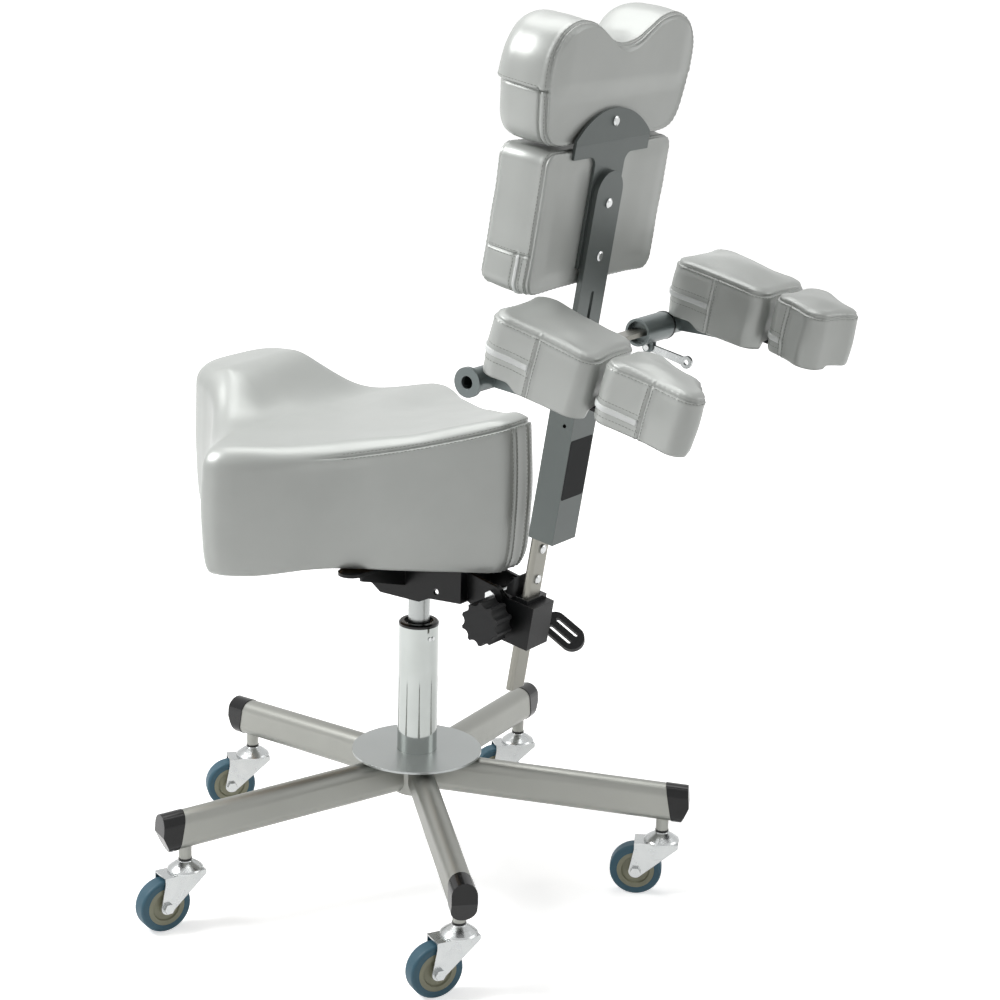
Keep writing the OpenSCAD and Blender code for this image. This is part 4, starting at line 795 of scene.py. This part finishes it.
LARGE_L, LARGE_W, LARGE_T, LARGE_FRONT_SHARE = 134, 120, 67, 0.88
LARGE_LIFT, LARGE_RISE = 0.2, 7
SMALL_L, SMALL_W, SMALL_T, SMALL_LIFT = 120, 88, 68, 5
SMALL_SHARES = {
    "right": [(0.61, 0.10), (-0.39, 0.10), (-0.23, -0.63), (0.43, -1.04)],
    "left": [(0.44, 0.17), (-0.60, -0.03), (-0.65, -0.70), (0.24, -0.70)],
}
LARGE_SEAM_Y = 2
SMALL_SEAM_Y = {"right": -52, "left": -33}
SMALL_SEAM_SHARES = {"right": (0.52, -0.30), "left": (0.52, -0.62)}
LARGE_ZIP_PLACE, SMALL_ZIP_PLACE, ZIP_HALF = 2.85, 2.45, 3.6
ARM_CORNER_R, ARM_DRAW, ARM_RIM = 20, 2, 11
ARM_PAD = {"edge_r": 13, "crown": 8, "puff": 1.5, "foot": 3}
ARM_PITCH, ARM_ROW = 4.2, 3.2


def dress_arm_pad(name, pad, matrix, body, seams, zip_place):
    """Edge seam all round, a zip round the rear from seam to seam and the rows beside it."""
    a, b = [pad.find(s) for s in seams]
    pad.ripple(1.2, 34, len(name) * 1.37)
    pad.on_ring(EDGE_PLACE, welted(1.5, 1.1, 0.7, 3.6))
    for mark in (a, b):
        pad.on_column(mark, welted(1.4, 1.0, 0.7, 3.2), low=0.4, high=5.2)
    pad.on_ring(zip_place, lambda d: 0.9 * hump(d, 4.2) - 1.8 * hump(d - 5.4, 1.0)
                - 0.8 * hump(d + 5.2, 1.0), a, b)
    pad.pucker(EDGE_PLACE)
    pad.measure()
    zip_strip(name + "_zip", pad.ring_path(zip_place, -0.4, a + 1.5, b - 1.5, 2.5), ZIP_HALF,
              matrix, body)
    stitches(name + "_topstitch",
             [pad.ring_path(EDGE_PLACE, -3.4, None, None, ARM_PITCH),
              pad.ring_path(zip_place, -11.0, a, b, ARM_PITCH),
              pad.ring_path(zip_place, 8.4, a, b, ARM_PITCH)]
             + [pad.column_path(m + o, 0.6, 4.9, ARM_PITCH)
                for m in (a, b) for o in (-ARM_ROW, ARM_ROW)],
             matrix, body)
    pad.piece(name + "_upholstery", matrix, name + "_pad", body, 0.85)


def large_pad(side, matrix):
    """A block that narrows and thins toward its front, hung over the link at the sides."""
    front = LARGE_FRONT_SHARE * LARGE_W / 2
    base = LINK_TOP + LARGE_LIFT
    seam_x = (LARGE_W / 2 + front) / 2
    seams = [(seam_x, LARGE_SEAM_Y), (-seam_x, LARGE_SEAM_Y)]
    plan = [(LARGE_W / 2, LARGE_L / 2), (-LARGE_W / 2, LARGE_L / 2),
            (-front, -LARGE_L / 2), (front, -LARGE_L / 2)]
    pad = Cushion(
        rounded(plan, ARM_CORNER_R, ARM_DRAW), centre=(0, 0), base=base,
        lip=lambda p: 8 * ease((np.abs(p[:, 0]) - 25) / 12) * ease((31 - p[:, 1]) / 20),
        top=lambda x, y: base + LARGE_T + LARGE_RISE * (y / LARGE_L + 0.5), **ARM_PAD,
        columns=seams, rings=[LARGE_ZIP_PLACE, EDGE_PLACE], dome=pillow(plan, ARM_RIM, 24))
    dress_arm_pad(side + "_large", pad, matrix @ shift(0, LARGE_Y, 0), side + "_elbow", seams,
                  LARGE_ZIP_PLACE)


def small_pad(side, matrix):
    """The hand's pad: a skewed block round the knob."""
    base = LINK_TOP + SMALL_LIFT
    plan = [(x * SMALL_W, y * SMALL_L) for x, y in SMALL_SHARES[side]]
    seams = [(x * SMALL_W, SMALL_SEAM_Y[side]) for x in SMALL_SEAM_SHARES[side]]
    pad = Cushion(
        rounded(plan, ARM_CORNER_R, ARM_DRAW), centre=(0, -0.42 * SMALL_L), base=base,
        lip=lambda p: 4 * ease((np.abs(p[:, 0]) - 19) / 6),
        top=lambda x, y: base + SMALL_T + 0 * x, **ARM_PAD,
        columns=seams, rings=[SMALL_ZIP_PLACE, EDGE_PLACE], dome=pillow(plan, ARM_RIM, 20))
    dress_arm_pad(side + "_small", pad, matrix @ shift(0, KNOB_Y, 0), side + "_hand", seams,
                  SMALL_ZIP_PLACE)


for side in SIDES:
    large_frame, small_frame = pad_frames(side)
    large_pad(side, large_frame)
    small_pad(side, small_frame)

# Boot and label

# Rubber boot between the clamp and the seat, with folds that fan down from the tube
BOOT_FRONT, BOOT_BACK, BOOT_LOW, BOOT_TOP, BOOT_EDGE = 16.3, 32.0, 122.1, 151.5, 132.0
BOOT_HALF, BOOT_FOLDS, BOOT_FOLD_H, BOOT_ROUND, BOOT_DRAW = 17.0, 5, 2.6, 5.0, 0.22
BOOT_STEPS = 66
BOOT_SHARES = [-1, -0.97, -0.9, -0.8, -0.7, 0.7, 0.8, 0.9, 0.97, 1]
LABEL_W, LABEL_Z, LABEL_T, LABEL_R, LABEL_SINK = 47, (271, 348), 0.3, 2.5, 0.05
LABEL_STEPS = 5
HOUSING_FACE = -28


def boot_outline():
    """Outline in Y and Z: a flat foot, a short back and a folded slope up to the tube."""
    run = np.array([BOOT_FRONT - BOOT_BACK, BOOT_TOP - BOOT_EDGE])
    out = np.array([run[1], -run[0]]) / np.linalg.norm(run)
    line = [(BOOT_FRONT, BOOT_LOW), (BOOT_BACK, BOOT_LOW)]
    for t in np.linspace(0, 1, BOOT_STEPS):
        wave = abs(math.sin(math.pi * BOOT_FOLDS * t)) ** 0.7
        line.append(tuple(np.array([BOOT_BACK, BOOT_EDGE]) + t * run + out * BOOT_FOLD_H * wave))
    return np.array(line)


def boot_mesh():
    """The outline drawn across the boot and eased in at both ends."""
    outline = boot_outline()
    centre = outline.mean(axis=0)
    points = []
    for share in BOOT_SHARES:
        past = max(0.0, (abs(share) * BOOT_HALF - (BOOT_HALF - BOOT_ROUND)) / BOOT_ROUND)
        keep = 1 - BOOT_DRAW * (1 - math.sqrt(max(0.0, 1 - past ** 2)))
        points += [(share * BOOT_HALF, *(centre + (q - centre) * keep)) for q in outline]
    n, last = len(outline), len(BOOT_SHARES) - 1
    faces = [(k * n + i, k * n + (i + 1) % n, (k + 1) * n + (i + 1) % n, (k + 1) * n + i)
             for k in range(last) for i in range(n)]
    faces += [tuple(reversed(range(n))), tuple(range(last * n, (last + 1) * n))]
    return points, faces


def label_mesh():
    """A thin blank plate with rounded corners, sunk a little into the housing's face."""
    x1, x2, (z1, z2), r = -LABEL_W / 2, LABEL_W / 2, LABEL_Z, LABEL_R
    rim = []
    for cx, cz, start in ((x2 - r, z2 - r, 0), (x1 + r, z2 - r, 90), (x1 + r, z1 + r, 180),
                          (x2 - r, z1 + r, 270)):
        for k in range(LABEL_STEPS + 1):
            a = math.radians(start + 90 * k / LABEL_STEPS)
            rim.append((cx + r * math.cos(a), cz + r * math.sin(a)))
    n = len(rim)
    points = ([(x, HOUSING_FACE + LABEL_SINK, z) for x, z in rim]
              + [(x, HOUSING_FACE - LABEL_T, z) for x, z in rim])
    faces = [(i, i + n, (i + 1) % n + n, (i + 1) % n) for i in range(n)]
    faces += [tuple(range(n)), tuple(reversed(range(n, 2 * n)))]
    return points, faces


points, faces = boot_mesh()
boot = piece("boot_bellows", place(MAST, points), faces, boot_rubber, "mast_bracket")
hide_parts("mast_boot")
points, faces = label_mesh()
piece("housing_label", place(MAST, points), faces, label_film, "mast", False)

# Floor, lamps and camera, in metres

FLOOR_HALF = 40.0
# The seen floor's strength by the stool and further out, and the distances between which it turns
GLOW_NEAR, GLOW_FAR, GLOW_START, GLOW_END = 0.61, 1.0, 0.6, 2.6
# What falls on things from the room around, and what the room shows
FILL_COLOUR, FILL_STRENGTH, ROOM_STRENGTH = (1, 0.985, 0.95, 1), 0.14, 1.0
WHITE = (1, 1, 1, 1)
MIDDLE = (0.0, -0.05, 0.6)
ARM_AIM = (0.0, -0.2, 0.8)
CAMERA_AT, LENS, SENSOR = (-2.27187, -1.71354, 1.34234), 83.93, 36
HEADING, FALL, ROLL = math.radians(55.0), math.radians(16.12), math.radians(1.47)


def where_seen(tree):
    """1 for the camera, in gloss and through glass, and 0 for the light that falls on things."""
    path = add(tree, "LightPath")
    either = add(tree, "Math", {0: (path, "Is Camera Ray"), 1: (path, "Is Glossy Ray")},
                 operation="MAXIMUM")
    return add(tree, "Math", {0: (either, "Value"), 1: (path, "Is Transmission Ray")},
               operation="MAXIMUM")


def floor_finish():
    """Matte white; the seen floor turns from its own shade by the stool to plain white."""
    mat = bpy.data.materials.new("studio_floor")
    mat.use_nodes = True
    tree = mat.node_tree
    tree.nodes.clear()
    matte = add(tree, "BsdfDiffuse", Color=srgb("#F4F4F4"))
    spot = add(tree, "NewGeometry")
    span = add(tree, "VectorMath", {0: (spot, "Position")}, operation="LENGTH")
    level = add(tree, "MapRange", {"Value": (span, "Value")}, interpolation_type="SMOOTHSTEP",
                From_Min=GLOW_START, From_Max=GLOW_END, To_Min=GLOW_NEAR, To_Max=GLOW_FAR)
    glow = add(tree, "Emission", {"Strength": (level, "Result")}, Color=WHITE)
    both = add(tree, "AddShader", {0: (matte, "BSDF"), 1: (glow, "Emission")})
    seen = where_seen(tree)
    pick = add(tree, "MixShader", {0: (seen, "Value"), 1: (matte, "BSDF"), 2: (both, "Shader")})
    tree.links.new(pick.outputs[0], add(tree, "OutputMaterial").inputs["Surface"])
    return mat


def studio_floor():
    """A wide floor under the stool."""
    mesh = bpy.data.meshes.new("floor")
    half = FLOOR_HALF
    mesh.from_pydata([(-half, -half, 0), (half, -half, 0), (half, half, 0), (-half, half, 0)],
                     [], [(0, 1, 2, 3)])
    floor = bpy.data.objects.new("floor", mesh)
    bpy.context.scene.collection.objects.link(floor)
    mesh.materials.append(floor_finish())


def studio_room():
    """A white room that is seen as plain white and lights the stool a little."""
    world = bpy.data.worlds.new("studio")
    bpy.context.scene.world = world
    world.use_nodes = True
    tree = world.node_tree
    tree.nodes.clear()
    seen = where_seen(tree)
    fill = add(tree, "Background", Color=FILL_COLOUR, Strength=FILL_STRENGTH)
    white = add(tree, "Background", Color=WHITE, Strength=ROOM_STRENGTH)
    pick = add(tree, "MixShader", {0: (seen, "Value"), 1: (fill, "Background"),
                                   2: (white, "Background")})
    tree.links.new(pick.outputs[0], add(tree, "OutputWorld").inputs["Surface"])


def lamp(name, at, aim, size, power):
    """A square soft light at a place, aimed at a point, both in metres."""
    data = bpy.data.lights.new(name, "AREA")
    data.shape, data.size, data.energy = "SQUARE", size, power
    obj = bpy.data.objects.new(name, data)
    obj.location = at
    obj.rotation_euler = (Vector(aim) - Vector(at)).to_track_quat("-Z", "Y").to_euler()
    bpy.context.scene.collection.objects.link(obj)


def studio_camera():
    """The photograph's view: from a place, on a heading, looking down, with a slight roll."""
    data = bpy.data.cameras.new("camera")
    data.lens = LENS
    data.sensor_width = SENSOR
    camera = bpy.data.objects.new("camera", data)
    bpy.context.scene.collection.objects.link(camera)
    level = math.cos(FALL)
    ahead = Vector((math.sin(HEADING) * level, math.cos(HEADING) * level, -math.sin(FALL)))
    right = ahead.cross(Vector((0, 0, 1))).normalized()
    above = right.cross(ahead)
    c, s = math.cos(ROLL), math.sin(ROLL)
    right, above = c * right + s * above, -s * right + c * above
    rows = [(right[i], above[i], -ahead[i], CAMERA_AT[i]) for i in range(3)]
    camera.matrix_world = Matrix((*rows, (0, 0, 0, 1)))
    return camera


studio_floor()
studio_room()
lamp("key", (-1.7, 1.8, 2.8), MIDDLE, 1.3, 92)
lamp("top", (0.5, 0.4, 3.2), MIDDLE, 2.0, 40)
lamp("side", (1.7, -2.4, 1.9), ARM_AIM, 1.6, 15)
scene = bpy.context.scene
scene.camera = studio_camera()
scene.view_settings.view_transform = "Standard"
